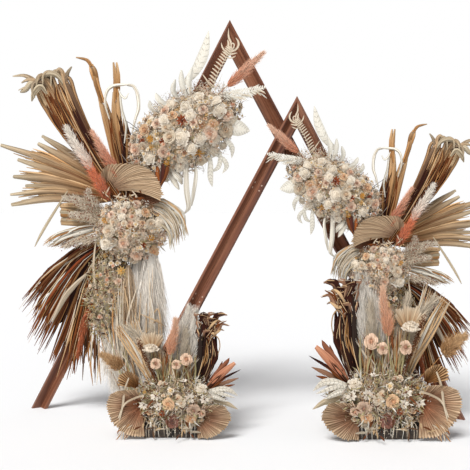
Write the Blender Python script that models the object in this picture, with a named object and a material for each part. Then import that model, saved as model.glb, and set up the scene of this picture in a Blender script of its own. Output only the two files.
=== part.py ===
"""A freestanding wooden wedding arch: two crossing A-frames of stained boards, dressed with dried
flowers, palm fans and pampas grass, and a flower trough at each side.

Metres, +Z up. The floor is z = 0, the front faces -Y, and +X is to the right of someone in front.
"""

import math
import random

import bmesh
import bpy
from mathutils import Matrix, Vector, geometry

# Driving dimensions of the two frames
BIG_HEIGHT = 2.30
BIG_HALF_WIDTH = 1.24
SMALL_SHARE = 0.805  # the small frame and its flowers beside the big ones
BIG_APEX = (-0.03, 0.0)
SMALL_APEX = (0.345, -0.150)
ORIGIN = (0.0325, -0.1215, 0.0)  # the middle of the whole arch on the floor, where the part's origin goes
BIG_TURN = 0.20  # radians about +Z that bring a frame's right foot forward
SMALL_TURN = -0.12

# Each leg is two boards nailed into a right angle that opens to the front
LEG_ACROSS = 0.092
SMALL_LEG_ACROSS = 0.084
BOARD_THICK = 0.016
GAP = 0.0003  # between pieces that touch

# Steel angles behind the screwed joints of the small frame's legs, along the leg from its apex
SPLICE_PLACES = {"upper": 0.55, "lower": 1.25}
SPLICE_LONG = 0.14
SPLICE_THICK = 0.003

# The block that joins the two frames where their legs cross
BLOCK_SIDE = 0.075
BLOCK_DEEP = 0.050

# The flower troughs: place on the floor, size beside the left one, and size of what grows high
TROUGHS = {"left": (-0.33, -0.31, 1.0, 1.0), "right": (0.80, -0.33, 1.12, 1.2)}
TROUGH_LONG = 0.36
TROUGH_DEEP = 0.22
TROUGH_HIGH = 0.065

# Moulds, the hidden copies of pieces that others are cut back to
MOULD_STEP = 1.5 * GAP  # how far a mould stands out of its piece
SHARPEST = 2.5  # steps that a sharp corner of a mould moves at most
NEAR = 0.002  # pieces whose boxes are closer than this are cut to each other

# Pleated leaves: shares of a leaf's length, unless said otherwise
LEAF_THICK = 0.005  # metres
STALK_HALF = 0.04
WEB_START = 0.08
SCALLOPED = 0.8  # a leaf joined past this share ends in short scallops
SHORTER = 0.06  # share by which every second finger is shorter
WIDEST = 0.45  # where a finger is widest, as a share of its own length
FINGER_WIDTH = 0.6  # share of its room that a finger fills there

# Plumes, flower banks and ferns
PLUME_BLUNT = 0.6  # below one, a plume is thickest past its middle
PLUME_FLAT = 0.8  # depth beside width
HEADS = 26  # flower heads that a bank swells at
SWELL = 0.14  # how far, as a share of the bank's radius
HEAD_REACH = 0.80  # cosine of the angle from a head's middle to its edge
FINE_BANK = 0.3  # a bank longer than this gets a finer mesh
FERN_PAIRS = 8  # leaflets on each side
RIB_HALF = 0.004
ROOTS_HIGH = 0.2  # height that the tall pieces of a trough grow from
TROUGH_FOOT = 0.88  # a trough's foot beside its rim

COLOURS = {
    "stained_wood": ((0.095, 0.040, 0.024), 0.45, 0.0),
    "zinc": ((0.60, 0.60, 0.58), 0.40, 1.0),
    "trough_black": ((0.030, 0.026, 0.024), 0.60, 0.0),
    "cream_petals": ((0.78, 0.67, 0.52), 0.85, 0.0),
    "tan_palm": ((0.44, 0.28, 0.15), 0.75, 0.0),
    "brown_palm": ((0.15, 0.065, 0.03), 0.70, 0.0),
    "dark_leaves": ((0.05, 0.024, 0.016), 0.60, 0.0),
    "shell_palm": ((0.52, 0.38, 0.25), 0.80, 0.0),
    "bleached_leaves": ((0.72, 0.69, 0.60), 0.85, 0.0),
    "pink_pampas": ((0.72, 0.33, 0.24), 0.95, 0.0),
    "cream_pampas": ((0.78, 0.71, 0.58), 0.95, 0.0),
}


def clear_scene():
    for ob in list(bpy.data.objects):
        bpy.data.objects.remove(ob, do_unlink=True)


def material(name):
    found = bpy.data.materials.get(name)
    if found:
        return found
    made = bpy.data.materials.new(name)
    made.use_nodes = True
    colour, roughness, metallic = COLOURS[name]
    shader = made.node_tree.nodes["Principled BSDF"]
    shader.inputs["Base Color"].default_value = (*colour, 1.0)
    shader.inputs["Roughness"].default_value = roughness
    shader.inputs["Metallic"].default_value = metallic
    return made


def add_object(name, points, faces, finish):
    """A closed mesh object with its faces turned outwards."""
    mesh = bpy.data.meshes.new(name)
    mesh.from_pydata([tuple(Vector(p) - Vector(ORIGIN)) for p in points], [], faces)
    bm = bmesh.new()
    bm.from_mesh(mesh)
    bmesh.ops.recalc_face_normals(bm, faces=bm.faces)
    if bm.calc_volume(signed=True) < 0:
        bmesh.ops.reverse_faces(bm, faces=bm.faces)
    bmesh.ops.triangulate(bm, faces=bm.faces)
    bm.to_mesh(mesh)
    bm.free()
    mesh.materials.append(material(finish))
    ob = bpy.data.objects.new(name, mesh)
    bpy.context.collection.objects.link(ob)
    return ob


# Booleans

def islands(bm):
    """The separate bodies of a mesh, as lists of faces."""
    left = set(bm.faces)
    while left:
        body = [left.pop()]
        for face in body:
            for edge in face.edges:
                for other in edge.link_faces:
                    if other in left:
                        left.discard(other)
                        body.append(other)
        yield body


def body_volume(body):
    """The volume that a closed set of triangles holds."""
    total = 0.0
    for face in body:
        a, b, c = (loop.vert.co for loop in face.loops)
        total += a.dot(b.cross(c)) / 6.0
    return total


def keep_largest(ob):
    """Leaves only the largest body of a cut object."""
    bm = bmesh.new()
    bm.from_mesh(ob.data)
    bmesh.ops.triangulate(bm, faces=bm.faces)
    bodies = sorted(islands(bm), key=body_volume)
    small = [face for body in bodies[:-1] for face in body]
    bmesh.ops.delete(bm, geom=small, context="FACES")
    bm.to_mesh(ob.data)
    bm.free()


def boolean(ob, tool, operation):
    """Applies one Boolean to ob."""
    modifier = ob.modifiers.new("cut", "BOOLEAN")
    modifier.operation = operation
    modifier.solver = "EXACT"
    modifier.object = tool
    graph = bpy.context.evaluated_depsgraph_get()
    result = bpy.data.meshes.new_from_object(ob.evaluated_get(graph))
    ob.modifiers.clear()
    ob.data = result


def add_mould(ob):
    """A hidden copy of a piece, moved out by the gap that touching pieces keep, to cut others with."""
    mesh = ob.data.copy()
    bm = bmesh.new()
    bm.from_mesh(mesh)
    bm.normal_update()
    moved = {v: v.normal * MOULD_STEP * min(v.calc_shell_factor(), SHARPEST) for v in bm.verts}
    for vertex, step in moved.items():
        vertex.co += step
    bm.to_mesh(mesh)
    bm.free()
    mould = bpy.data.objects.new(f"{ob.name}_mould", mesh)
    mould.hide_render = True
    mould.display_type = "WIRE"
    bpy.context.collection.objects.link(mould)
    return mould


def corners_of(ob):
    points = [ob.matrix_world @ v.co for v in ob.data.vertices]
    low = Vector(min(p[i] for p in points) for i in range(3))
    high = Vector(max(p[i] for p in points) for i in range(3))
    return low, high


def boxes_meet(one, other):
    low_a, high_a = corners_of(one)
    low_b, high_b = corners_of(other)
    return all(low_a[i] < high_b[i] + NEAR and low_b[i] < high_a[i] + NEAR for i in range(3))


def seat(ob, moulds):
    """Cuts a new piece back to the surfaces of the pieces that are already there, and adds its mould."""
    own = add_mould(ob)
    for mould in moulds:
        if boxes_meet(ob, mould):
            boolean(ob, mould, "DIFFERENCE")
        if not ob.data.polygons:
            raise ValueError(f"{ob.name} lies wholly inside {mould.name}")
    keep_largest(ob)
    moulds.append(own)


def fuse(name, pieces):
    """One body from pieces that overlap."""
    whole = pieces[0]
    for piece in pieces[1:]:
        boolean(whole, piece, "UNION")
        bpy.data.objects.remove(piece, do_unlink=True)
    keep_largest(whole)
    whole.name = name
    return whole


# The timber frames

class Frame:
    """An A-frame: its apex, its plane and its legs."""

    def __init__(self, name, apex, turn, share, across):
        self.name = name
        self.apex = Vector((apex[0], apex[1], BIG_HEIGHT * share))
        self.half_width = BIG_HALF_WIDTH * share
        self.share = share
        self.across = across
        self.right = Vector((math.cos(turn), -math.sin(turn), 0.0))
        self.back = Vector((math.sin(turn), math.cos(turn), 0.0))

    def leg_axes(self, side):
        """Down the leg, and outwards across it."""
        slope = math.atan2(self.half_width, self.apex.z)
        down = self.right * side * math.sin(slope) - Vector((0, 0, math.cos(slope)))
        outward = self.right * side * math.cos(slope) + Vector((0, 0, math.sin(slope)))
        return down, outward

    def leg_prism(self, name, side, section, finish):
        """A section swept down a leg, mitred at the apex and cut level on the floor.

        The section's points are (outward from the leg's middle, back from the frame's plane)."""
        down, outward = self.leg_axes(side)
        count = len(section)
        points = []
        for end in ("apex", "foot"):
            for across, back in section:
                start = self.apex + outward * (across - self.across / 2) + self.back * back
                if end == "apex":
                    offset = (start - self.apex).dot(self.right) * side
                    run = (GAP / 2 - offset) / (down.dot(self.right) * side)
                else:
                    run = start.z / -down.z
                points.append(start + down * run)
        faces = [list(range(count)), list(range(count, 2 * count))]
        for i in range(count):
            j = (i + 1) % count
            faces.append([i, j, count + j, count + i])
        return add_object(name, points, faces, finish)

    def leg_hull(self, side):
        """The solid that a leg's two boards fill between them, a little grown, to cut others with."""
        half = self.across / 2 + 2 * GAP
        front = BOARD_THICK / math.sqrt(2)
        section = [(0.0, half + GAP), (half, 0.0), (half - front, -front - GAP)]
        section += [(-half + front, -front - GAP), (-half, 0.0)]
        return self.leg_prism(f"{self.name}_hull", side, section, "stained_wood")

    def arranged(self, side):
        """From (outward, forward, up) on the big frame's scale to world coordinates."""
        place = Matrix.Identity(4)
        for column, axis in enumerate((self.right * side, -self.back, Vector((0, 0, 1)))):
            place.col[column].xyz = axis * self.share
        place.translation = (self.apex.x, self.apex.y, 0.0)
        return place


def board_sections(across):
    """The sections of a leg's outer and inner boards, which meet at the back."""
    root = math.sqrt(0.5)
    thick = BOARD_THICK * root
    half = across / 2
    corner = (0.0, half)
    outer = [corner, (half, 0.0), (half - thick, -thick), (-thick, half - thick)]
    step = thick + GAP * root
    inner = [(-step, half - step), (-half, 0.0), (-half + thick, -thick)]
    inner.append((thick - step, half - step - thick))
    return {"outer": outer, "inner": inner}


def build_boards(frame):
    made = []
    for side, side_name in ((-1, "left"), (1, "right")):
        for place, section in board_sections(frame.across).items():
            name = f"{frame.name}_{side_name}_{place}_board"
            made.append(frame.leg_prism(name, side, section, "stained_wood"))
    return made


def build_splices(frame):
    """Steel angles on the back of both legs, where their boards are joined end to end."""
    made = []
    half = frame.across / 2
    lap = 0.8 * half  # how far each flange reaches along the board
    near = GAP * math.sqrt(2)
    far = near + SPLICE_THICK * math.sqrt(2)
    for side, side_name in ((-1, "left"), (1, "right")):
        down, outward = frame.leg_axes(side)
        for place, along in SPLICE_PLACES.items():
            section = [(0.0, half + far), (lap, half + far - lap), (lap, half + near - lap)]
            section += [(0.0, half + near), (-lap, half + near - lap), (-lap, half + far - lap)]
            points = []
            for run in (along - SPLICE_LONG / 2, along + SPLICE_LONG / 2):
                for across, back in section:
                    start = frame.apex + outward * (across - half) + frame.back * back
                    points.append(start + down * run)
            count = len(section)
            faces = [list(range(count)), list(range(count, 2 * count))]
            faces += [[i, (i + 1) % count, count + (i + 1) % count, count + i] for i in range(count)]
            made.append(add_object(f"{frame.name}_{side_name}_{place}_splice", points, faces, "zinc"))
    return made


def build_crossing_block(big, small):
    """A block on the front edges of the big right leg, notched for the small left leg."""
    down, outward = big.leg_axes(1)
    lines = []
    for frame, side in ((big, 1), (small, -1)):
        along, aside = frame.leg_axes(side)
        top = frame.apex - aside * frame.across / 2
        lines += [top.xz, (top + along * 2 * frame.half_width).xz]
    crossing = geometry.intersect_line_line_2d(*lines)
    middle = big.apex - outward * big.across / 2
    middle += down * (middle.z - crossing.y) / -down.z
    front = BOARD_THICK / math.sqrt(2) + GAP
    points = []
    for depth in (front, front + BLOCK_DEEP):
        for a, b in ((-1, -1), (1, -1), (1, 1), (-1, 1)):
            flat = down * a * BLOCK_SIDE / 2 + outward * b * BLOCK_SIDE / 2
            points.append(middle + flat - big.back * depth)
    faces = [[0, 1, 2, 3], [4, 5, 6, 7], [0, 1, 5, 4], [1, 2, 6, 5], [2, 3, 7, 6], [3, 0, 4, 7]]
    return add_object("crossing_block", points, faces, "stained_wood")


# Leaves, plumes and flower heads, in an arrangement's own (outward, forward, up) coordinates

FORWARD = Vector((0, 1, 0))


def placed(place, name, points, faces, finish):
    return add_object(name, [place @ Vector(p) for p in points], faces, finish)


def fan(place, name, finish, root, hub, tip, spread, fingers, web, droop=0.0, fold=0.03, taper=0.25):
    """A pleated palm leaf: a stalk from its root to its hub, a web of folds around the hub, then
    separate pointed fingers.

    spread is its whole angle, web the share of the length that is joined, fold the height of a pleat,
    taper how much shorter the leaf is at its sides, and droop bends the tips down."""
    root = Vector(root)
    hub = Vector(hub)
    middle = Vector(tip) - hub
    length = middle.length
    middle.normalize()
    across = FORWARD.cross(middle).normalized()
    face = middle.cross(across).normalized()

    def at(angle, share, lift, sideways=0.0):
        ray = middle * math.cos(angle) + across * math.sin(angle)
        aside = across * math.cos(angle) - middle * math.sin(angle)
        point = hub + ray * share * length + aside * sideways
        point += face * lift * length * share
        point.z -= droop * length * share * share
        return point

    def limit(angle):
        return 1.0 - taper * (2 * angle / spread) ** 2

    step = spread / fingers
    columns = 2 * fingers + 1
    stalk_half = STALK_HALF * length
    front = []
    for j in range(columns):
        angle = -spread / 2 + j * step / 2
        lift = fold if j % 2 else -fold
        front.append(root + across * stalk_half * (2 * j / (columns - 1) - 1))
        front.append(at(angle, WEB_START, lift))
        front.append(at(angle, web * limit(angle), lift))
    faces = []
    rim = []
    for j in range(columns - 1):
        near = 3 * j
        faces += [[near, near + 3, near + 4, near + 1], [near + 1, near + 4, near + 5, near + 2]]
        rim.append((near + 3, near))
    last = 3 * (columns - 1)
    rim += [(0, 1), (1, 2), (last + 2, last + 1), (last + 1, last)]
    for i in range(fingers):
        j = 2 * i + 1
        angle = -spread / 2 + j * step / 2
        reach = limit(angle) * (1.0 - SHORTER * (i % 2))
        joined = web * limit(angle)
        left, ridge, right = 3 * j - 1, 3 * j + 2, 3 * j + 5
        base = len(front)
        if web > SCALLOPED:
            front.append(at(angle, reach, fold * 0.5))
            faces += [[left, ridge, base], [ridge, right, base]]
            rim += [(left, base), (base, right)]
            continue
        share = joined + (reach - joined) * WIDEST
        half = FINGER_WIDTH * share * length * math.sin(step / 2)
        front.append(at(angle, share, -fold * 0.5, -half))
        front.append(at(angle, share, fold))
        front.append(at(angle, share, -fold * 0.5, half))
        front.append(at(angle, reach, 0.0))
        faces += [[left, ridge, base + 1, base], [ridge, right, base + 2, base + 1]]
        faces += [[base, base + 1, base + 3], [base + 1, base + 2, base + 3]]
        rim += [(left, base), (base, base + 3), (base + 3, base + 2), (base + 2, right)]
    count = len(front)
    behind = [p - face * LEAF_THICK for p in front]
    faces += [[i + count for i in reversed(f)] for f in list(faces)]
    faces += [[a, b, b + count, a + count] for a, b in rim]
    return placed(place, name, front + behind, faces, finish)


def plume(place, name, finish, start, end, bend, radius, sides=7, rings=7):
    """A feathery head: a spindle along a bent line, thickest past its middle."""
    start = Vector(start)
    end = Vector(end)
    control = (start + end) / 2 + Vector(bend)
    points = [start]
    for k in range(1, rings):
        t = k / rings
        centre = start * (1 - t) ** 2 + control * 2 * t * (1 - t) + end * t * t
        along = ((control - start) * (1 - t) + (end - control) * t).normalized()
        across = along.cross(FORWARD).normalized()
        front = across.cross(along) * PLUME_FLAT
        size = radius * math.sin(math.pi * t ** PLUME_BLUNT)
        for i in range(sides):
            angle = 2 * math.pi * i / sides
            points.append(centre + across * size * math.cos(angle) + front * size * math.sin(angle))
    points.append(end)
    faces = [[0, 1 + i, 1 + (i + 1) % sides] for i in range(sides)]
    for k in range(rings - 2):
        low = 1 + k * sides
        for i in range(sides):
            j = (i + 1) % sides
            faces.append([low + i, low + sides + i, low + sides + j, low + j])
    last = 1 + (rings - 2) * sides
    faces += [[last + (i + 1) % sides, last + i, len(points) - 1] for i in range(sides)]
    return placed(place, name, points, faces, finish)


def flower_bank(place, name, centre, size, tilt, seed):
    """A bank of flower heads: an ellipsoid that swells at each head. tilt turns it in the frame's plane."""
    draw = random.Random(seed)
    ball = bmesh.new()
    bmesh.ops.create_icosphere(ball, subdivisions=3 if max(size) > FINE_BANK else 2, radius=1.0)
    ball.verts.ensure_lookup_table()
    centres = []
    for _ in range(HEADS):
        centres.append(Vector([draw.gauss(0, 1) for _ in range(3)]).normalized())
    turn = Matrix.Rotation(tilt, 3, "Y")
    points = []
    for vertex in ball.verts:
        nearest = max(vertex.co.dot(c) for c in centres)
        rise = 1.0 - SWELL + SWELL * max(0.0, (nearest - HEAD_REACH) / (1.0 - HEAD_REACH))
        shaped = Vector([vertex.co[i] * size[i] * rise for i in range(3)])
        points.append(Vector(centre) + turn @ shaped)
    faces = [[v.index for v in face.verts] for face in ball.faces]
    ball.free()
    return placed(place, name, points, faces, "cream_petals")


def fern(place, name, finish, start, end, bend, width):
    """A fern frond: a midrib with pointed leaflets on both sides, cut from one flat blade."""
    start = Vector(start)
    end = Vector(end)
    control = (start + end) / 2 + Vector(bend)

    def rib(t):
        return start * (1 - t) ** 2 + control * 2 * t * (1 - t) + end * t * t

    def outward(t):
        along = ((control - start) * (1 - t) + (end - control) * t).normalized()
        return along.cross(FORWARD).normalized(), along

    front = []
    faces = []
    first, last = 0.06, 0.94
    rows = 2 * FERN_PAIRS
    for k in range(rows + 1):
        t = first + (last - first) * k / rows
        across, along = outward(t)
        reach = RIB_HALF
        if k % 2:
            reach = width * math.sin(math.pi * (0.12 + 0.88 * t)) ** 0.8
        lean = along * reach / 2
        front += [rib(t) - across * reach + lean, rib(t), rib(t) + across * reach + lean]
    for k in range(rows):
        a = 3 * k
        faces += [[a, a + 1, a + 4, a + 3], [a + 1, a + 2, a + 5, a + 4]]
    tip = len(front)
    front.append(end)
    top = 3 * rows
    faces += [[top, top + 1, tip], [top + 1, top + 2, tip]]
    rim = [(1, 0), (2, 1)]
    rim += [(3 * k, 3 * k + 3) for k in range(rows)] + [(top, tip), (tip, top + 2)]
    rim += [(3 * k + 5, 3 * k + 2) for k in range(rows)]
    count = len(front)
    behind = [p - FORWARD * LEAF_THICK for p in front]
    faces += [[i + count for i in reversed(f)] for f in list(faces)]
    faces += [[a, b, b + count, a + count] for a, b in rim]
    return placed(place, name, front + behind, faces, finish)


# The hanging arrangement on an outer leg

def hanging_flowers(frame, side, name, moulds):
    """The flowers, palms and plumes on one outer leg, from the apex down."""
    place = frame.arranged(side)

    def add(ob):
        seat(ob, moulds)

    add(flower_bank(place, f"{name}_flowers_upper",
                    centre=(0.24, 0.14, 1.70), size=(0.47, 0.15, 0.17), tilt=0.66, seed=3))
    add(flower_bank(place, f"{name}_flowers_middle",
                    centre=(0.58, 0.14, 1.145), size=(0.20, 0.155, 0.19), tilt=0.0, seed=5))
    add(flower_bank(place, f"{name}_flowers_lower",
                    centre=(0.68, 0.13, 0.72), size=(0.13, 0.11, 0.27), tilt=-0.08, seed=7))
    columns = []
    for i, (top, foot, radius) in enumerate((
        ((0.50, 0.12, 1.05), (0.54, 0.10, 0.12), 0.090),
        ((0.44, 0.15, 1.02), (0.41, 0.14, 0.28), 0.075),
        ((0.60, 0.16, 0.98), (0.66, 0.15, 0.24), 0.080),
    )):
        columns.append(plume(place, f"column_{i}", "cream_pampas", top, foot, (0, 0, 0), radius, sides=6))
    add(fuse(f"{name}_cream_pampas", columns))
    add(fan(place, f"{name}_pleated_fan", "shell_palm",
            root=(0.53, 0.15, 1.22), hub=(0.53, 0.16, 1.27), tip=(0.53, 0.20, 1.48),
            spread=2.3, fingers=9, web=0.88, taper=0.0, fold=0.04))
    add(fan(place, f"{name}_palm_fan_side", "tan_palm",
            root=(0.58, 0.11, 1.20), hub=(0.68, 0.09, 1.34), tip=(1.36, 0.05, 1.45),
            spread=1.15, fingers=7, web=0.34, droop=0.03))
    add(fan(place, f"{name}_palm_fan_curled", "tan_palm",
            root=(0.56, 0.18, 1.22), hub=(0.62, 0.15, 1.44), tip=(1.06, 0.16, 2.02),
            spread=0.42, fingers=5, web=0.62, droop=0.04))
    add(fan(place, f"{name}_palm_fan_upper", "tan_palm",
            root=(0.55, 0.06, 1.22), hub=(0.60, 0.05, 1.52), tip=(0.68, -0.01, 2.14),
            spread=0.80, fingers=5, web=0.40))
    add(fan(place, f"{name}_bleached_palm", "bleached_leaves",
            root=(0.50, 0.14, 1.20), hub=(0.45, 0.14, 1.19), tip=(0.19, 0.16, 1.07),
            spread=1.5, fingers=7, web=0.45, taper=0.1))
    add(fan(place, f"{name}_grass_fan", "tan_palm",
            root=(0.62, 0.16, 1.16), hub=(0.72, 0.15, 1.15), tip=(1.14, 0.12, 1.06),
            spread=0.95, fingers=7, web=0.30, droop=0.05))
    add(fan(place, f"{name}_brown_palm", "brown_palm",
            root=(0.64, 0.11, 1.12), hub=(0.76, 0.10, 1.06), tip=(1.15, 0.08, 0.44),
            spread=0.85, fingers=7, web=0.36, droop=0.02, taper=0.1))
    lower = plume(place, "lower", "pink_pampas", start=(0.62, 0.22, 1.18), end=(0.90, 0.23, 1.63),
                  bend=(0.02, 0.04, 0.02), radius=0.042)
    upper = plume(place, "upper", "pink_pampas", start=(0.60, 0.22, 1.18), end=(0.77, 0.24, 1.67),
                  bend=(-0.02, 0.04, 0), radius=0.036)
    add(fuse(f"{name}_pink_pampas", [lower, upper]))
    add(plume(place, f"{name}_apex_plume", "pink_pampas", start=(0.04, 0.20, 1.84), end=(-0.23, 0.12, 2.11),
              bend=(-0.02, 0, -0.02), radius=0.045, rings=8))
    add(fern(place, f"{name}_fern", "bleached_leaves", start=(0.10, 0.17, 1.84), end=(-0.02, 0.06, 2.23),
             bend=(0.02, 0, 0), width=0.06))


# A flower trough on the floor

def trough_flowers(name, side, moulds):
    """The flowers, fans and plumes that stand in one trough. Outward is away from the arch's middle."""
    x, y, size, tall = TROUGHS[name]
    place = Matrix.Translation((x, y, 0)) @ Matrix.Diagonal((side * size, -size, size, 1))
    high = Matrix.Translation((0, 0, ROOTS_HIGH)) @ Matrix.Diagonal((1, 1, tall, 1))
    upright = place @ high @ Matrix.Translation((0, 0, -ROOTS_HIGH))

    def add(ob):
        seat(ob, moulds)

    points = []
    for z, share in ((0.0, TROUGH_FOOT), (TROUGH_HIGH, 1.0)):
        for a, b in ((-1, -1), (1, -1), (1, 1), (-1, 1)):
            points.append((a * TROUGH_LONG / 2 * share, b * TROUGH_DEEP / 2 * share, z / size))
    faces = [[0, 1, 2, 3], [4, 5, 6, 7], [0, 1, 5, 4], [1, 2, 6, 5], [2, 3, 7, 6], [3, 0, 4, 7]]
    add(placed(place, f"{name}_trough", points, faces, "trough_black"))
    add(flower_bank(place, f"{name}_trough_flowers",
                    centre=(0.0, 0.0, 0.19), size=(0.23, 0.175, 0.155), tilt=0.0, seed=11))
    add(fan(place, f"{name}_shell_fan_outer", "shell_palm",
            root=(0.08, 0.04, 0.142), hub=(0.12, 0.05, 0.142), tip=(0.36, 0.09, 0.142),
            spread=2.2, fingers=11, web=0.88, taper=0.40, fold=0.035))
    add(fan(place, f"{name}_shell_fan_inner", "shell_palm",
            root=(-0.07, 0.05, 0.125), hub=(-0.10, 0.06, 0.125), tip=(-0.31, 0.10, 0.122),
            spread=2.1, fingers=9, web=0.88, taper=0.40, fold=0.035))
    plumes = []
    for i, (foot, top, radius) in enumerate((
        ((0.00, -0.02, 0.20), (-0.04, -0.03, 0.69), 0.050),
        ((-0.01, 0.00, 0.20), (-0.10, -0.02, 0.60), 0.042),
        ((0.01, 0.00, 0.20), (0.06, -0.02, 0.60), 0.042),
    )):
        plumes.append(plume(upright, f"plume_{i}", "cream_pampas", foot, top, (0, 0, 0), radius, sides=6))
    add(fuse(f"{name}_white_pampas", plumes))
    add(fan(upright, f"{name}_outer_fan", "tan_palm",
            root=(0.10, -0.01, 0.18), hub=(0.14, -0.02, 0.22), tip=(0.35, -0.05, 0.56),
            spread=0.75, fingers=5, web=0.35))
    add(fan(upright, f"{name}_dark_leaves", "dark_leaves",
            root=(-0.10, 0.0, 0.18), hub=(-0.12, -0.01, 0.24), tip=(-0.19, -0.02, 0.68),
            spread=0.62, fingers=5, web=0.30))
    add(fan(upright, f"{name}_pointed_leaves", "brown_palm",
            root=(-0.09, 0.04, 0.18), hub=(-0.13, 0.05, 0.20), tip=(-0.36, 0.08, 0.36),
            spread=0.85, fingers=5, web=0.25))


def main():
    clear_scene()
    big = Frame("big", BIG_APEX, BIG_TURN, 1.0, LEG_ACROSS)
    small = Frame("small", SMALL_APEX, SMALL_TURN, SMALL_SHARE, SMALL_LEG_ACROSS)
    build_boards(big)
    build_boards(small)
    splices = build_splices(small)
    moulds = [frame.leg_hull(side) for frame in (big, small) for side in (-1, 1)]
    seat(build_crossing_block(big, small), moulds)
    moulds += [add_mould(splice) for splice in splices]
    hanging_flowers(big, -1, "left", moulds)
    hanging_flowers(small, 1, "right", moulds)
    trough_flowers("left", -1, moulds)
    trough_flowers("right", 1, moulds)
    for mould in moulds:
        bpy.data.objects.remove(mould, do_unlink=True)


main()
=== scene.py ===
"""The looks of the wedding arch: its timber, dried flowers, palms and plumes, floor, lights and camera."""

import math

import bpy
import numpy as np
from mathutils import Matrix, Vector


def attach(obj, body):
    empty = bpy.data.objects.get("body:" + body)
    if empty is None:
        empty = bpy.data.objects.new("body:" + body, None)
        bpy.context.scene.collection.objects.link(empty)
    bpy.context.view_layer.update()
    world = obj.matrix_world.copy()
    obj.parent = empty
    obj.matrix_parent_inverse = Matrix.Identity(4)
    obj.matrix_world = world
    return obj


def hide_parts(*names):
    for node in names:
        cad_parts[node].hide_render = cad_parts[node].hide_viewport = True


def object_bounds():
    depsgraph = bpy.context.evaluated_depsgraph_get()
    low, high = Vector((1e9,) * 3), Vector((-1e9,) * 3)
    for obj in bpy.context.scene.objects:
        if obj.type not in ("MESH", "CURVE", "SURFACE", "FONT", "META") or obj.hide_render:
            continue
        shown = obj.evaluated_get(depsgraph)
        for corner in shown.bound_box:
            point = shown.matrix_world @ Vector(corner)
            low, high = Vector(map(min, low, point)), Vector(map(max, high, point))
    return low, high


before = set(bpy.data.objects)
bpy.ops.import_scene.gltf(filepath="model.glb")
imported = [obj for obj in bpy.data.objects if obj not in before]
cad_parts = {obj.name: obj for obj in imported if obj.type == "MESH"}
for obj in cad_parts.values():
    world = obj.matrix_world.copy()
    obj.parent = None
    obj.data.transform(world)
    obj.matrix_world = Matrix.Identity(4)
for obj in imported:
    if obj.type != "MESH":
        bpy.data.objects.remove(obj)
cad_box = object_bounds()

# The two frames, as they stand on the floor
ORIGIN = Vector((0.0325, -0.1215, 0.0))
BIG_APEX = Vector((-0.03, 0.0, 2.30)) - ORIGIN
SMALL_APEX = Vector((0.345, -0.150, 2.30 * 0.805)) - ORIGIN
BIG_TURN = 0.20
SMALL_TURN = -0.12
SMALL_SHARE = 0.805
HALF_WIDTH = 1.24
SLOPE = math.atan2(HALF_WIDTH, 2.30)
LEG_ACROSS = {"big": 0.092, "small": 0.084}
SPLICE_PLACES = (0.55, 1.25)
BOARD_THICK = 0.016
TROUGHS = {"left": (-0.33, -0.31, 1.0, 1.0), "right": (0.80, -0.33, 1.12, 1.2)}

# The camera: how far in front of the arch, how high, and its look down
CAMERA_PLACE = (-0.0325, -4.8785, 1.30)
CAMERA_DIP = 0.046
CAMERA_LENS = 66.4

# The sun's direction, strength and softness, and how much darker than on screen the colours are
SUN_WAY = (0.30, 0.62, -0.78)
SUN_STRENGTH = 3.3
SUN_SOFTNESS = 0.45
TONE = 1.0

UP = np.array((0.0, 0.0, 1.0))
FRONT = np.array((0.0, 1.0, 0.0))
GOLDEN = 2.39996


def rgb(red, green, blue):
    """A linear colour from the 0 to 255 values that a screen shows under the studio's light."""
    share = np.array((red, green, blue)) / 255.0
    return np.where(share < 0.04045, share / 12.92, ((share + 0.055) / 1.055) ** 2.4) * TONE


CREAM = rgb(210, 195, 172)
WHITE = rgb(219, 210, 195)
BLUSH = rgb(220, 192, 168)
PEACH = rgb(220, 184, 146)
PEACH_DEEP = rgb(196, 124, 84)
ROSE_BROWN = rgb(146, 88, 60)
MAUVE = rgb(142, 98, 84)
MAUVE_DARK = rgb(80, 46, 36)
RUST = rgb(150, 72, 36)
RUST_DARK = rgb(70, 28, 16)
MUSTARD = rgb(198, 142, 62)
MUSTARD_PALE = rgb(208, 174, 112)
OLIVE = rgb(176, 164, 120)
SEED_DARK = rgb(44, 32, 26)
TWIG = rgb(96, 70, 50)
TAN = rgb(172, 126, 78)
TAN_DARK = rgb(96, 52, 18)
TAN_PALE = rgb(202, 170, 130)
GREIGE = rgb(196, 182, 156)
BROWN = rgb(116, 62, 24)
BROWN_DARK = rgb(54, 20, 6)
SHELL = rgb(204, 180, 150)
SHELL_DARK = rgb(132, 94, 62)
SHELL_BROWN = rgb(150, 112, 88)
BLEACHED = rgb(226, 222, 210)
PINK = rgb(204, 118, 80)
PINK_PALE = rgb(230, 182, 154)
PLUME_WHITE = rgb(238, 230, 218)
PLUME_TAN = rgb(206, 178, 144)
MOSS = rgb(126, 104, 74)


# Small vector tools

def unit(vectors):
    return vectors / np.maximum(np.linalg.norm(vectors, axis=-1, keepdims=True), 1e-9)


def curve(points, share):
    """A smooth curve through a few points, read at shares from 0 to 1 of its run."""
    p = np.array(points, float)
    p = np.vstack([2 * p[0] - p[1], p, 2 * p[-1] - p[-2]])
    run = np.clip(np.asarray(share, float), 0.0, 1.0) * (len(points) - 1)
    i = np.minimum(run.astype(int), len(points) - 2)
    t = (run - i)[..., None]
    a, b, c, d = p[i], p[i + 1], p[i + 2], p[i + 3]
    return 0.5 * (2 * b + (c - a) * t + (2 * a - 5 * b + 4 * c - d) * t ** 2 + (3 * b - a - 3 * c + d) * t ** 3)


def heading(points, share):
    """The direction of the curve at those shares."""
    share = np.asarray(share, float)
    return unit(curve(points, share + 0.01) - curve(points, share - 0.01))


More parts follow.
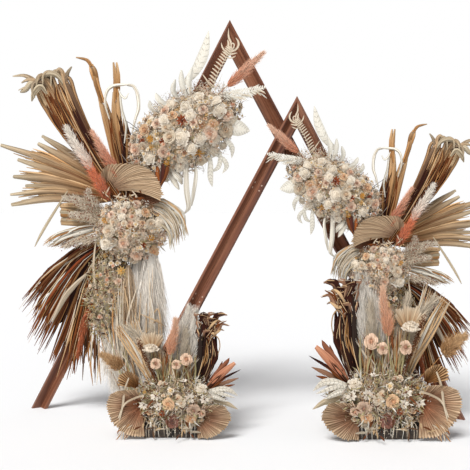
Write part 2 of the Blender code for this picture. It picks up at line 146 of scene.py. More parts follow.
class Heap:
    """The points and faces of one piece, gathered from many small grids of points."""

    def __init__(self):
        self.points = []
        self.tints = []
        self.grains = []
        self.faces = []
        self.count = 0

    def grids(self, points, tints, grains=None, ring=False):
        """Adds sheets, as arrays of sheet, row, column and xyz. ring joins the last column to the first."""
        points = np.asarray(points, float)
        if points.ndim == 3:
            points = points[None]
        sheets, rows, columns = points.shape[:3]
        index = np.arange(sheets * rows * columns).reshape(sheets, rows, columns) + self.count
        if ring:
            index = np.concatenate([index, index[:, :, :1]], axis=2)
        corners = [index[:, :-1, :-1], index[:, :-1, 1:], index[:, 1:, 1:], index[:, 1:, :-1]]
        self.faces.append(np.stack(corners, axis=-1).reshape(-1, 4))
        self.points.append(points.reshape(-1, 3))
        self.tints.append(np.broadcast_to(tints, points.shape).reshape(-1, 3))
        if grains is None:
            grains = points
        self.grains.append(np.broadcast_to(grains, points.shape).reshape(-1, 3))
        self.count += sheets * rows * columns

    def build(self, name, place, finish, slot, *nodes):
        """Makes the piece's object, which stands for those CAD nodes."""
        matrix = np.array(place)
        world = np.concatenate(self.points) @ matrix[:3, :3].T + matrix[:3, 3]
        low = np.array(cad_box[0]) - (0.08, 0.03, 0.0)
        high = np.array(cad_box[1]) + (0.08, 0.03, 0.05)
        world = np.clip(world, (low[0], low[1], 0.001), high)
        faces = np.concatenate(self.faces)
        if place.determinant() < 0:
            faces = faces[:, ::-1]
        tints = np.concatenate(self.tints)
        mesh = bpy.data.meshes.new(name)
        mesh.vertices.add(len(world))
        mesh.vertices.foreach_set("co", world.ravel())
        mesh.loops.add(faces.size)
        mesh.loops.foreach_set("vertex_index", faces.ravel())
        mesh.polygons.add(len(faces))
        mesh.polygons.foreach_set("loop_start", np.arange(0, faces.size, 4))
        mesh.polygons.foreach_set("use_smooth", np.ones(len(faces), bool))
        tint = mesh.color_attributes.new("tint", "FLOAT_COLOR", "POINT")
        tint.data.foreach_set("color", np.hstack([tints, np.ones((len(tints), 1))]).ravel())
        grain = mesh.attributes.new("grain", "FLOAT_VECTOR", "POINT")
        grain.data.foreach_set("vector", np.concatenate(self.grains).ravel())
        mesh.update(calc_edges=True)
        mesh.materials.append(finish)
        piece = bpy.data.objects.new(name, mesh)
        bpy.context.scene.collection.objects.link(piece)
        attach(piece, "root")
        if nodes:
            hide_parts(*nodes)
        return piece


# Materials

def new_material(name, roughness):
    """A material with a Principled shader, and its nodes and links."""
    made = bpy.data.materials.new(name)
    made.use_nodes = True
    nodes = made.node_tree.nodes
    links = made.node_tree.links
    shader = nodes["Principled BSDF"]
    shader.inputs["Roughness"].default_value = roughness
    return made, nodes, links, shader


def noise(nodes, links, vector, scale, detail, stretch=(1, 1, 1)):
    mapping = nodes.new("ShaderNodeMapping")
    mapping.inputs["Scale"].default_value = stretch
    links.new(vector, mapping.inputs["Vector"])
    texture = nodes.new("ShaderNodeTexNoise")
    texture.inputs["Scale"].default_value = scale
    texture.inputs["Detail"].default_value = detail
    links.new(mapping.outputs["Vector"], texture.inputs["Vector"])
    return texture.outputs["Fac"]


def ramp(nodes, links, value, stops):
    made = nodes.new("ShaderNodeValToRGB")
    elements = made.color_ramp.elements
    while len(elements) < len(stops):
        elements.new(0.5)
    for element, (place, colour) in zip(elements, stops):
        element.position = place
        element.color = (*colour, 1.0)
    links.new(value, made.inputs["Fac"])
    return made.outputs["Color"]


def multiply(nodes, links, first, second):
    mix = nodes.new("ShaderNodeMix")
    mix.data_type = "RGBA"
    mix.blend_type = "MULTIPLY"
    mix.inputs["Factor"].default_value = 1.0
    links.new(first, mix.inputs["A"])
    links.new(second, mix.inputs["B"])
    return mix.outputs["Result"]


def bump(nodes, links, height, shader, distance, strength=0.6):
    made = nodes.new("ShaderNodeBump")
    made.inputs["Distance"].default_value = distance
    made.inputs["Strength"].default_value = strength
    links.new(height, made.inputs["Height"])
    links.new(made.outputs["Normal"], shader.inputs["Normal"])


def plant_material(name, roughness, sheen, stretch, scale, low, high):
    """Dried plant matter: the piece's own tint, streaked along its grain."""
    made, nodes, links, shader = new_material(name, roughness)
    tint = nodes.new("ShaderNodeAttribute")
    tint.attribute_name = "tint"
    grain = nodes.new("ShaderNodeAttribute")
    grain.attribute_name = "grain"
    streaks = noise(nodes, links, grain.outputs["Vector"], scale, 3.0, stretch)
    shade = ramp(nodes, links, streaks, ((0.30, low), (0.62, high)))
    links.new(multiply(nodes, links, tint.outputs["Color"], shade), shader.inputs["Base Color"])
    bump(nodes, links, streaks, shader, 0.0008)
    shader.inputs["Sheen Weight"].default_value = sheen
    shader.inputs["Specular IOR Level"].default_value = 0.12
    return made


def wood_material(name, along):
    """Stained timber with its grain along one direction."""
    made, nodes, links, shader = new_material(name, 0.42)
    place = nodes.new("ShaderNodeTexCoord")
    turn = nodes.new("ShaderNodeMapping")
    turn.vector_type = "POINT"
    to_leg = along.to_track_quat("Z", "Y").inverted()
    turn.inputs["Rotation"].default_value = to_leg.to_euler("XYZ")
    links.new(place.outputs["Object"], turn.inputs["Vector"])
    vector = turn.outputs["Vector"]
    fibres = noise(nodes, links, vector, 1.0, 6.0, (190, 190, 5.0))
    bands = noise(nodes, links, vector, 1.0, 2.0, (32, 32, 0.9))
    blotches = noise(nodes, links, vector, 1.0, 3.0, (9, 9, 2.2))
    base = ramp(nodes, links, bands, ((0.30, rgb(90, 50, 35)), (0.50, rgb(128, 80, 56)), (0.70, rgb(162, 113, 86))))
    fine = ramp(nodes, links, fibres, ((0.30, (0.52, 0.49, 0.47)), (0.56, (1.0, 1.0, 1.0))))
    broad = ramp(nodes, links, blotches, ((0.30, (0.80, 0.78, 0.76)), (0.65, (1.08, 1.06, 1.05))))
    colour = multiply(nodes, links, multiply(nodes, links, base, fine), broad)
    links.new(colour, shader.inputs["Base Color"])
    gloss = nodes.new("ShaderNodeMapRange")
    gloss.inputs["To Min"].default_value = 0.34
    gloss.inputs["To Max"].default_value = 0.60
    links.new(bands, gloss.inputs["Value"])
    links.new(gloss.outputs["Result"], shader.inputs["Roughness"])
    bump(nodes, links, fibres, shader, 0.0006, 0.5)
    return made


def metal_material(name, colour, roughness, scale):
    """Zinc plate, cloudy and a little scratched."""
    made, nodes, links, shader = new_material(name, roughness)
    place = nodes.new("ShaderNodeTexCoord")
    clouds = noise(nodes, links, place.outputs["Object"], scale, 4.0)
    dark = tuple(colour * 0.72)
    links.new(ramp(nodes, links, clouds, ((0.35, dark), (0.65, tuple(colour)))), shader.inputs["Base Color"])
    shader.inputs["Metallic"].default_value = 0.9
    bump(nodes, links, clouds, shader, 0.0003)
    return made


def mottled_material(name, colours, roughness, scale):
    """Dark stuff with cloudy variation, for the troughs."""
    made, nodes, links, shader = new_material(name, roughness)
    place = nodes.new("ShaderNodeTexCoord")
    clouds = noise(nodes, links, place.outputs["Object"], scale, 6.0)
    links.new(ramp(nodes, links, clouds, ((0.35, colours[0]), (0.68, colours[1]))), shader.inputs["Base Color"])
    bump(nodes, links, clouds, shader, 0.002)
    return made


# Blades, leaves and strands

def blade(heap, path, width, tint, fold=0.35, facing=FRONT, rows=14, columns=5, taper=0.25, root=0.35, twist=0.0,
          tip_tint=None, edge=0.80, wave=0.0, stripes=0.0, random=None):
    """One long leaf along a path, folded along its middle. root and taper are its width at the ends."""
    share = np.linspace(0.0, 1.0, rows)
    centre = curve(path, share)
    along = heading(path, share)
    across = unit(np.cross(along, facing))
    normal = np.cross(across, along)
    angle = (twist * share)[:, None]
    across, normal = across * np.cos(angle) + normal * np.sin(angle), normal * np.cos(angle) - across * np.sin(angle)
    grow = root + (1 - root) * np.minimum(share / 0.45, 1.0) ** 0.8
    close = 1 - (1 - taper) * np.clip((share - 0.62) / 0.38, 0, 1) ** 1.6
    half = width / 2 * grow * close
    u = np.linspace(-1, 1, columns)
    lift = fold * half[:, None] * (1 - np.abs(u))
    if wave:
        lift = lift + wave * half[:, None] * random.normal(0, 1, (rows, 1)) * u
    points = centre[:, None] + across[:, None] * (u * half[:, None])[..., None] + normal[:, None] * lift[..., None]
    tip_tint = tint if tip_tint is None else tip_tint
    colour = tint + (tip_tint - tint) * share[:, None] ** 2
    # Painted shade: each blade is darker towards its edges, where the fold turns it back.
    shade = 1 - (1 - edge) * np.abs(u) ** 3
    if stripes:
        shade = shade * np.clip(1 + stripes * random.normal(0, 1, columns), 0.35, 1.5)
    length = np.linalg.norm(np.diff(centre, axis=0), axis=1).sum()
    grain = np.zeros((rows, columns, 3))
    grain[..., 0] = u * half.max()
    grain[..., 1] = share[:, None] * length
    grain[..., 2] = (path[0][0] * 7 + path[-1][0] * 13 + path[-1][2] * 5) % 1.0
    heap.grids(points, colour[:, None] * shade[:, None], grain)


def strands(heap, start, direction, length, width, droop, tint, rows=3, random=None, thin=0.85):
    """Many fine ribbons, each from its start along its direction, bent by its droop."""
    share = np.linspace(0.0, 1.0, rows)
    reach = length[:, None] * share
    centre = start[:, None] + direction[:, None] * reach[..., None]
    centre = centre + droop[:, None] * (length[:, None] * share ** 2)[..., None]
    side = unit(np.cross(direction, random.normal(0, 1, direction.shape) + FRONT * 1.5))
    half = (np.asarray(width) / 2 * np.ones(len(start)))[:, None] * (1 - thin * share)
    offset = side[:, None] * half[..., None]
    points = np.stack([centre - offset, centre + offset], axis=2)
    heap.grids(points, tint[:, None, None, :])


def stem(heap, path, radius, tint, rows=8, sides=5):
    """A round stalk along a path."""
    share = np.linspace(0, 1, rows)
    centre = curve(path, share)
    along = heading(path, share)
    across = unit(np.cross(along, FRONT + UP * 0.3))
    other = np.cross(across, along)
    angle = np.linspace(0, 2 * math.pi, sides, endpoint=False)
    ring = across[:, None] * np.cos(angle)[..., None] + other[:, None] * np.sin(angle)[..., None]
    size = radius * (1 - 0.4 * share)
    heap.grids(centre[:, None] + ring * size[:, None, None], tint, ring=True)


def plume(heap, path, radius, count, root_tint, tip_tint, seed, length=0.075, spread=0.55, width=0.0026, blunt=0.6,
          sag=0.25, core=0.45, flat=0.8, whiten=0.0, depth=0.60):
    """A pampas plume: strands that leave a stem on all sides and lie forward along it, over an inside painted darker as
    the shade among the strands.
    """
    random = np.random.default_rng(seed)
    share = random.random(count) ** 0.85 * 0.97
    centre = curve(path, share)
    along = heading(path, share)
    across = unit(np.cross(along, FRONT))
    other = np.cross(across, along)
    angle = random.uniform(0, 2 * math.pi, count)
    aside = across * np.cos(angle)[:, None] + other * flat * np.sin(angle)[:, None]
    size = radius * np.sin(math.pi * np.clip(share, 0.02, 0.98) ** blunt) + radius * 0.12
    start = centre + aside * (size * random.uniform(0.05, 0.62, count))[:, None]
    direction = unit(along + aside * random.uniform(0.10, spread, count)[:, None] + random.normal(0, 0.09, (count, 3)))
    reach = length * random.uniform(0.45, 1.2, count) * (0.55 + 0.45 * size / radius)
    droop = -UP * sag + random.normal(0, 0.06, (count, 3))
    glow = (1.10 - depth * random.random(count) ** 1.6)[:, None]
    mix = np.clip(share + random.normal(0, 0.14, count) + whiten, 0, 1)[:, None]
    tint = (root_tint + (tip_tint - root_tint) * mix) * glow
    strands(heap, start, direction, reach, width, droop, tint, 3, random)
    rows = 14
    step = np.linspace(0, 1, rows)
    middle = curve(path, step)
    line = heading(path, step)
    right = unit(np.cross(line, FRONT))
    back = np.cross(right, line)
    turn = np.linspace(0, 2 * math.pi, 12, endpoint=False)
    ring = right[:, None] * np.cos(turn)[..., None] + back[:, None] * (flat * np.sin(turn))[..., None]
    body = core * radius * np.sin(math.pi * np.clip(step, 0.04, 0.99) ** blunt)
    body = body[:, None] * random.uniform(0.75, 1.2, (rows, 12))
    # Painted shade: the inside body is 0.62 times as bright as the strands, for the shade within the plume.
    shade = (root_tint + (tip_tint - root_tint) * np.clip(step + whiten, 0, 1)[:, None]) * 0.62
    shade = shade[:, None] * random.uniform(0.7, 1.15, (1, 12, 1))
    heap.grids(middle[:, None] + ring * body[..., None], shade, ring=True)


# Flower heads, about 1 in radius, opening along +Z

def petal_ring(turns, reach, rise, half_angle, lip, rows, columns, inner, outer, pointed=False, random=None, order=None):
    """Petals around a middle. Each argument up to lip has a value for each petal."""
    values = [np.asarray(a, float)[:, None, None] for a in (turns, reach, rise, half_angle, lip)]
    turns, reach, rise, half_angle, lip = values
    v = np.linspace(0.0, 1.0, rows)[None, :, None]
    u = np.linspace(-1.0, 1.0, columns)[None, None, :]
    if pointed:
        wide = np.sin(math.pi * (0.14 + 0.83 * v)) ** 0.8
    else:
        wide = np.sin(math.pi * (0.16 + 0.64 * v)) ** 0.6
    angle = turns + u * half_angle * wide
    radius = reach * v ** 0.75 * (1 - 0.06 * u ** 2 * v) + lip * v ** 3
    height = rise * v ** 1.1 * (1 - 0.20 * u ** 2 * v) - lip * 0.7 * v ** 4 + 0.05 * u * v
    if random is not None:
        height = height + random.normal(0, 0.03, (len(turns), rows, columns)) * v
    points = np.stack([radius * np.cos(angle), radius * np.sin(angle), height + 0 * angle], axis=-1)
    order = np.linspace(0, 1, len(turns)) if order is None else np.asarray(order, float)
    share = order[:, None, None] * (0.30 + 0.70 * v)
    blend = inner + (outer - inner) * np.clip(share * 1.35, 0, 1) + 0 * u
    return points, blend, False


def dome(radius, height, rows, columns, low, high):
    """A round middle, closed at its top."""
    polar = np.linspace(0.04, 1.0, rows)[:, None]
    angle = np.linspace(0, 2 * math.pi, columns, endpoint=False)[None]
    points = np.stack([radius * polar * np.cos(angle), radius * polar * np.sin(angle),
                       height * np.sqrt(np.clip(1 - polar ** 2, 0, 1)) + 0 * angle], axis=-1)
    blend = (low + (high - low) * polar + 0 * angle)
    return points[None], blend[None], True


def rose(seed, openness=1.0):
    """A layered rose: a tight middle and rings of petals that open outwards."""
    random = np.random.default_rng(seed)
    counts = (3, 4, 5, 6, 6)
    reach = np.repeat((0.18, 0.36, 0.58, 0.80, 0.80 + 0.20 * openness), counts)
    rise = np.repeat((0.66, 0.60, 0.52, 0.42, 0.42 - 0.22 * openness), counts)
    half_angle = np.repeat((1.25, 1.0, 0.82, 0.70, 0.64), counts)
    lip = np.repeat((0.02, 0.04, 0.07, 0.10, 0.14), counts)
    order = np.repeat((0.15, 0.50, 0.80, 1.0, 1.0), counts)
    turns = np.concatenate([np.arange(n) * 2 * math.pi / n + random.uniform(0, 2) for n in counts])
    turns = turns + random.normal(0, 0.08, len(turns))
    reach = reach * random.uniform(0.92, 1.04, len(turns))
    petals = petal_ring(turns, reach, rise, half_angle, lip, 4, 3, 0.0, 1.0, random=random, order=order)
    return [petals, dome(0.34, 0.62, 4, 8, 0.15, 0.35)]


def spray_rose(seed):
    """A small rose of few petals."""
    random = np.random.default_rng(seed)
    t = np.linspace(0, 1, 9)
    turns = np.arange(9) * GOLDEN
    ring = petal_ring(turns, 0.2 + 0.78 * t, 0.62 - 0.38 * t, 1.25 - 0.55 * t, 0.05 + 0.1 * t, 3, 3, 0.0, 1.0,
                      random=random)
    return [ring, dome(0.36, 0.56, 3, 7, 0.0, 0.4)]


def ruffle(seed):
    """A full head of many small petals, like a carnation."""
    random = np.random.default_rng(seed)
    count = 26
    t = np.linspace(0, 1, count)
    turns = np.arange(count) * GOLDEN
    rise = 0.80 - 0.60 * t + random.normal(0, 0.05, count)
    ring = petal_ring(turns, 0.14 + 0.86 * t, rise, 0.95 - 0.50 * t, 0.04 + 0.10 * t, 3, 3, 0.4, 1.0, random=random,
                      order=np.sqrt(t))
    return [ring, dome(0.78, 0.60, 4, 9, 0.5, 0.7)]


def star_flower(seed, petals=8):
    """Pointed petals around a dark middle."""
    random = np.random.default_rng(seed)
    turns = np.arange(petals) * 2 * math.pi / petals + random.normal(0, 0.1, petals)
    ones = np.ones(petals)
    ring = petal_ring(turns, ones * random.uniform(0.85, 1.0, petals), ones * 0.22, ones * 0.42, ones * 0.02, 4, 3,
                      0.75, 1.0, pointed=True, random=random, order=ones)
    return [ring, dome(0.18, 0.16, 3, 7, 0.0, 0.1)]


def straw_flower(seed):
    """Rings of stiff pointed scales around a domed middle."""
    random = np.random.default_rng(seed)
    parts = [dome(0.30, 0.30, 3, 8, 0.0, 0.25)]
    for reach, rise, inner, outer in ((0.62, 0.44, 0.2, 0.7), (1.0, 0.20, 0.6, 1.0)):
        count = 9
        turns = np.arange(count) * 2 * math.pi / count + random.uniform(0, 1)
        ones = np.ones(count)
        parts.append(petal_ring(turns, ones * reach, ones * rise, ones * 0.36, ones * 0.04, 3, 3, inner, outer,
                                pointed=True, random=random, order=ones))
    return parts


def bead():
    """A tiny bud or seed."""
    sides = 3
    angle = np.linspace(0, 2 * math.pi, sides, endpoint=False)
    rows = ((0.75, 0.0), (1.0, 0.7), (0.05, 1.4))
    points = np.array([[(r * math.cos(a), r * math.sin(a), h) for a in angle] for r, h in rows])
    blend = np.array((0.2, 0.8, 1.0))[:, None] * np.ones((3, sides))
    return [(points[None], blend[None], True)]


ROSES = [rose(s, o) for s, o in ((1, 1.0), (2, 0.7), (3, 0.35), (4, 0.9))]
SPRAYS = [spray_rose(s) for s in (11, 12, 13)]
RUFFLES = [ruffle(s) for s in (14, 15, 16)]
STARS = [star_flower(s) for s in (21, 22)]
STRAWS = [straw_flower(s) for s in (31, 32)]
BEAD = bead()
KINDS = {"rose": ROSES, "spray": SPRAYS, "ruffle": RUFFLES, "star": STARS, "straw": STRAWS, "bead": [BEAD]}


def stand(position, direction, spin, size):
    """A matrix that stands a flower head at a position, opening in a direction."""
    z = unit(np.asarray(direction, float))
    x = unit(np.cross(z, (math.cos(spin), 0.35, math.sin(spin))))
    y = np.cross(z, x)
    matrix = np.eye(4)
    matrix[:3, 0] = x * size
    matrix[:3, 1] = y * size
    matrix[:3, 2] = z * size
    matrix[:3, 3] = position
    return matrix


def plant(heap, flower, places, inner, outer):
    """Copies of a flower head, each with its own inner and outer colour."""
    places = np.asarray(places)
    inner = np.broadcast_to(inner, (len(places), 3))[:, None, None, None]
    outer = np.broadcast_to(outer, (len(places), 3))[:, None, None, None]
    for points, blend, ring in flower:
        moved = np.einsum("kij,prcj->kprci", places[:, :3, :3], points) + places[:, None, None, None, :3, 3]
        weight = blend[None, ..., None]
        tints = inner * (1 - weight) + outer * weight
        shape = (-1, *moved.shape[2:])
        heap.grids(moved.reshape(shape), tints.reshape(shape), ring=ring)


# A bank of flowers

LOOKS = {
    "cream": ("rose", rgb(200, 166, 130), CREAM),
    "white": ("ruffle", rgb(206, 188, 160), WHITE),
    "blush": ("rose", rgb(196, 142, 110), BLUSH),
    "peach": ("rose", rgb(200, 146, 104), PEACH),
    "brown_eye": ("rose", rgb(132, 76, 50), BLUSH),
    "mauve": ("rose", MAUVE_DARK, MAUVE),
    "rust": ("straw", RUST_DARK, RUST),
    "mustard": ("straw", MUSTARD * 0.7, MUSTARD),
    "straw": ("straw", MUSTARD, MUSTARD_PALE),
    "star": ("star", RUST_DARK, WHITE),
    "spray": ("spray", rgb(212, 176, 140), CREAM),
    "small_white": ("spray", MUSTARD_PALE, WHITE),
    "small_pink": ("spray", PEACH_DEEP, BLUSH),
    "small_brown": ("spray", ROSE_BROWN * 0.7, PEACH),
}


PALE_BITS = (CREAM, WHITE, BLEACHED, BLUSH, TAN_PALE, CREAM, CREAM, BLUSH, OLIVE, BROWN)
OLIVE_BITS = (OLIVE, OLIVE * 0.8, CREAM, TAN_PALE, OLIVE * 1.1, MUSTARD_PALE * 0.8, BROWN, MOSS)


class Bank:
    """An ellipsoid that flowers cover: its middle, its half sizes and its lean in the frame's plane."""

    def __init__(self, centre, size, tilt, seed):
        self.centre = np.array(centre)
        self.size = np.array(size)
        self.turn = np.array(Matrix.Rotation(tilt, 3, "Y"))
        self.random = np.random.default_rng(seed)
        self.taken = []
        self.heap = Heap()

    def surface(self, way, depth=1.0):
        """The points of the surface in these directions of the unit ball, and the way that they face."""
        way = unit(np.asarray(way, float))
        points = self.centre + (way * self.size * depth) @ self.turn.T
        faces = unit((way / self.size) @ self.turn.T)
        return points, faces

    def front_point(self, outward, up):
        """The front of the bank at a place in the frame's plane."""
        flat = np.array((outward - self.centre[0], 0.0, up - self.centre[2])) @ self.turn
        way = flat / self.size
        left = 1.0 - way[0] ** 2 - way[2] ** 2
        way[1] = math.sqrt(max(left, 0.04))
        return self.surface(way, 1.0)

    def put(self, look, position, facing, diameter):
        kind, inner, outer = LOOKS[look]
        if facing[1] < 0.0 and kind == "rose":
            kind = "spray"
        flowers = KINDS[kind]
        flower = flowers[self.random.integers(len(flowers))]
        glow = self.random.uniform(0.90, 1.05)
        facing = unit(facing + self.random.normal(0, 0.16, 3))
        place = stand(position - facing * diameter * 0.10, facing, self.random.uniform(0, 6.28), diameter / 2)
        plant(self.heap, flower, [place], inner * glow, outer * glow)
        self.taken.append((position, diameter / 2))

    def heroes(self, rows):
        """Flowers that stand where they are seen: look, outward, up and diameter in millimetres."""
        for look, outward, up, size in rows:
            position, face = self.front_point(outward, up)
            facing = unit(face * 0.6 + FRONT * 0.7)
            self.put(look, position + facing * 0.010, facing, size / 1000)

    def free(self, position, radius, overlap=0.80):
        if not self.taken:
            return True
        places = np.array([p for p, _ in self.taken])
        radii = np.array([r for _, r in self.taken])
        return bool(np.all(np.linalg.norm(places - position, axis=1) > (radii + radius) * overlap))

    def scatter(self, mixture, tries, low, high, lift=0.0, overlap=0.8, top=9.0):
        """Flowers wherever there is room, none above the top: mixture gives each look's share."""
        looks = list(mixture)
        odds = np.array([mixture[look] for look in looks], float)
        for _ in range(tries):
            way = unit(self.random.normal(0, 1, 3) + FRONT * 0.35)
            position, face = self.surface(way, self.random.uniform(0.86, 1.12))
            diameter = self.random.uniform(low, high)
            if position[2] < top and self.free(position, diameter / 2, overlap):
                look = looks[self.random.choice(len(looks), p=odds / odds.sum())]
                facing = unit(face + FRONT * 0.35)
                self.put(look, position + face * lift, facing, diameter)

    def body(self, glow=1.0):
        """The tangle of dried stuff that shows between the heads."""
        rows = 24
        columns = 40
        polar = np.linspace(0.03, math.pi - 0.03, rows)[:, None]
        angle = np.linspace(0, 2 * math.pi, columns, endpoint=False)[None]
        way = np.stack([np.sin(polar) * np.cos(angle), np.sin(polar) * np.sin(angle), np.cos(polar) + 0 * angle], axis=-1)
        points, _ = self.surface(way, self.random.uniform(0.76, 0.96, (rows, columns, 1)))
        stuff = np.array((CREAM, CREAM * 0.9, TAN_PALE, MOSS, OLIVE, BLUSH, CREAM * 0.8))
        tints = stuff[self.random.integers(len(stuff), size=(rows, columns))] * glow
        self.heap.grids(points, tints, ring=True)

    def bits(self, count, low, high, width, tints=PALE_BITS):
        """Loose petals and leaf tips all over."""
        random = self.random
        way = unit(random.normal(0, 1, (count, 3)) + FRONT * 0.5)
        roots, faces = self.surface(way, random.uniform(0.90, 1.10, (count, 1)))
        aim = unit(faces * 0.5 + random.normal(0, 0.6, (count, 3)))
        colours = np.array(tints)
        tint = colours[random.integers(len(colours), size=count)] * random.uniform(0.7, 1.08, (count, 1))
        length = random.uniform(low, high, count)
        strands(self.heap, roots, aim, length, width, random.normal(0, 0.2, (count, 3)), tint, 3, random, thin=0.7)

    def buds(self, count, size, tint, reach=(0.95, 1.12), front=0.3):
        """Tiny buds and seeds all over."""
        way = unit(self.random.normal(0, 1, (count, 3)) + FRONT * front)
        points, faces = self.surface(way, self.random.uniform(*reach, (count, 1)))
        facing = unit(faces + self.random.normal(0, 0.5, (count, 3)))
        places = [stand(p, f, 1.0, size * s) for p, f, s in zip(points, facing, self.random.uniform(0.5, 1.2, count))]
        colours = tint * self.random.uniform(0.75, 1.1, (count, 1))
        plant(self.heap, BEAD, places, colours * 0.8, colours)

    def breath(self, sprays, reach, tint, stems=9, bud=0.0026, stalk=TWIG):
        """Sprays of thin branched stems with tiny buds at their ends."""
        random = self.random
        way = unit(random.normal(0, 1, (sprays, 3)) + FRONT * 0.4)
        roots, faces = self.surface(way, 0.92)
        start = np.repeat(roots, stems, axis=0)
        aim = unit(np.repeat(faces, stems, axis=0) + random.normal(0, 0.42, (sprays * stems, 3)) + UP * 0.15)
        length = random.uniform(0.5, 1.0, sprays * stems) * reach
        droop = random.normal(0, 0.15, aim.shape)
        strands(self.heap, start, aim, length, 0.0011, droop, np.tile(stalk, (len(start), 1)), 3, random)
        ends = start + (aim + droop) * length[:, None]
        ends = np.repeat(ends, 3, axis=0) + random.normal(0, 0.006, (len(ends) * 3, 3))
        places = [stand(p, a, 0.0, bud * s) for p, a, s in zip(ends, np.repeat(aim, 3, axis=0), random.uniform(0.7, 1.5, len(ends)))]
        colours = tint * random.uniform(0.85, 1.08, (len(ends), 1))
        plant(self.heap, BEAD, places, colours * 0.85, colours)

    def leaves(self, count, low, high, width, tint, dark=0.8, out=0.75):
        """Small pointed leaves that stand out from between the flowers."""
        random = self.random
        way = unit(random.normal(0, 1, (count, 3)) + FRONT * 0.2)
        roots, faces = self.surface(way, 0.90)
        for root, face in zip(roots, faces):
            aim = unit(face * out + random.normal(0, 0.55, 3))
            length = random.uniform(low, high)
            bend = random.normal(0, 0.15, 3)
            path = [root, root + aim * length * 0.5, root + (aim + bend) * length]
            glow = random.uniform(dark, 1.05)
            facing = unit(face + FRONT * 0.5 + random.normal(0, 0.3, 3))
            blade(self.heap, path, width * random.uniform(0.7, 1.2), tint * glow, facing=facing, rows=6, columns=3,
                  taper=0.06, root=0.3)


MIX = {"cream": 6, "white": 6, "blush": 3, "peach": 0.8, "brown_eye": 1.0, "spray": 3, "small_white": 3, "straw": 0.5}
SMALL_MIX = {"spray": 4, "small_white": 6, "small_pink": 2, "small_brown": 0.9, "mustard": 0.35, "rust": 0.3, "straw": 0.7}


def fill_bank(bank, tries, low=0.042, high=0.070, mix=MIX, top=9.0, dark=1.0):
    """What every bank has between the flowers that were put first."""
    bank.scatter(mix, tries, low, high, overlap=0.66, top=top)
    bank.scatter(SMALL_MIX, tries * 2, 0.020, 0.034, lift=0.006, overlap=0.56, top=top)
    bank.body(dark)
    area = float(bank.size[0] * bank.size[2] + bank.size[1] * bank.size[0])
    bank.bits(int(26000 * area), 0.008, 0.030, 0.0042)
    bank.bits(int(3000 * area), 0.040, 0.080, 0.0030)
    bank.buds(int(3600 * area), 0.0044, CREAM, (0.98, 1.16))
    bank.buds(int(1100 * area), 0.0040, SEED_DARK, (0.98, 1.12))
    bank.buds(int(500 * area), 0.0046, ROSE_BROWN, (0.98, 1.12))
    bank.buds(int(500 * area), 0.0050, MUSTARD, (0.94, 1.06))
    bank.breath(int(150 * area), 0.070, WHITE)
    bank.leaves(int(500 * area), 0.03, 0.07, 0.010, BLEACHED)
    bank.leaves(int(200 * area), 0.03, 0.06, 0.007, BROWN)


# Fans

def shell_fan(heap, hub, rim, ribs, tints, depth=0.010, cup=0.03, bow=(0.0, 0.0, 0.0), rows=10, inner=0.10,
              ragged=0.03, seed=0, crease_shade=0.60):
    """A pleated leaf from its hub to a rim, which is a few points. tints run from the hub to the rim, then give the
    colour of the painted shade in the creases between the ribs.
    """
    random = np.random.default_rng(seed)
    hub = np.array(hub, float)
    columns = 4 * ribs + 1
    ray = curve(rim, np.linspace(0, 1, columns)) - hub
    ridge = np.array((0.0, 0.6, 1.0, 0.6))[np.arange(columns) % 4]
    per_rib = np.repeat(random.normal(0, ragged, ribs + 1), 4)[:columns]
    jut = (per_rib - 0.04 * (1 - ridge))[:, None]
    share = np.linspace(inner, 1.0, rows)[:, None, None]
    points = hub + ray * share * (1 + jut * share ** 2) + np.array(bow) * (4 * share * (1 - share))
    lift = depth * share[..., 0] * (2 * ridge - 1) + cup * share[..., 0] * (2 - share[..., 0])
    lift = lift + random.normal(0, 0.0012, (rows, columns))
    points = points + FRONT * lift[..., None]
    hub_tint, middle_tint, rim_tint, crease_shade_tint = tints
    colour = np.where(share < 0.5, hub_tint + (middle_tint - hub_tint) * share * 2,
                      middle_tint + (rim_tint - middle_tint) * (share - 0.5) * 2)
    # Painted shade: the creases between the ribs are darkened towards their own tint.
    dark = ((1 - ridge) ** 1.3)[:, None] * crease_shade
    colour = colour * (1 - dark) + crease_shade_tint * dark
    glow = np.repeat(random.uniform(0.78, 1.12, ribs + 1), 4)[:columns]
    colour = colour * glow[:, None] * random.uniform(0.93, 1.07, (rows, columns, 1))
    grain = np.zeros((rows, columns, 3))
    grain[..., 0] = np.linspace(0, 1, columns) * 0.3
    grain[..., 1] = share[..., 0] * 0.25
    grain[..., 2] = seed * 0.37
    heap.grids(points, colour, grain)


def fingers(heap, paths, width, tints, seed, fold=0.9, glow=(0.62, 1.15), lean=0.25, **options):
    """Palm fingers along several paths, each folded and striped."""
    random = np.random.default_rng(seed)
    for path in paths:
        tint = tints[random.integers(len(tints))] * random.uniform(*glow)
        size = width * random.uniform(0.75, 1.15)
        blade(heap, path, size, tint, fold=fold * random.uniform(0.7, 1.2), twist=random.normal(0, lean), wave=0.06,
              stripes=0.22, random=random, **options)


def between(first, last, share, bow=0.0, wander=0.0, random=None):
    """A path part of the way from one path to another."""
    first = np.array(first, float)
    last = np.array(last, float)
    path = first * (1 - share) + last * share
    if random is not None:
        path[1:] += random.normal(0, wander, path[1:].shape) * (1, 0.5, 1)
    path[:, 1] += bow
    return path


# The hanging arrangement, in its own outward, forward and up coordinates

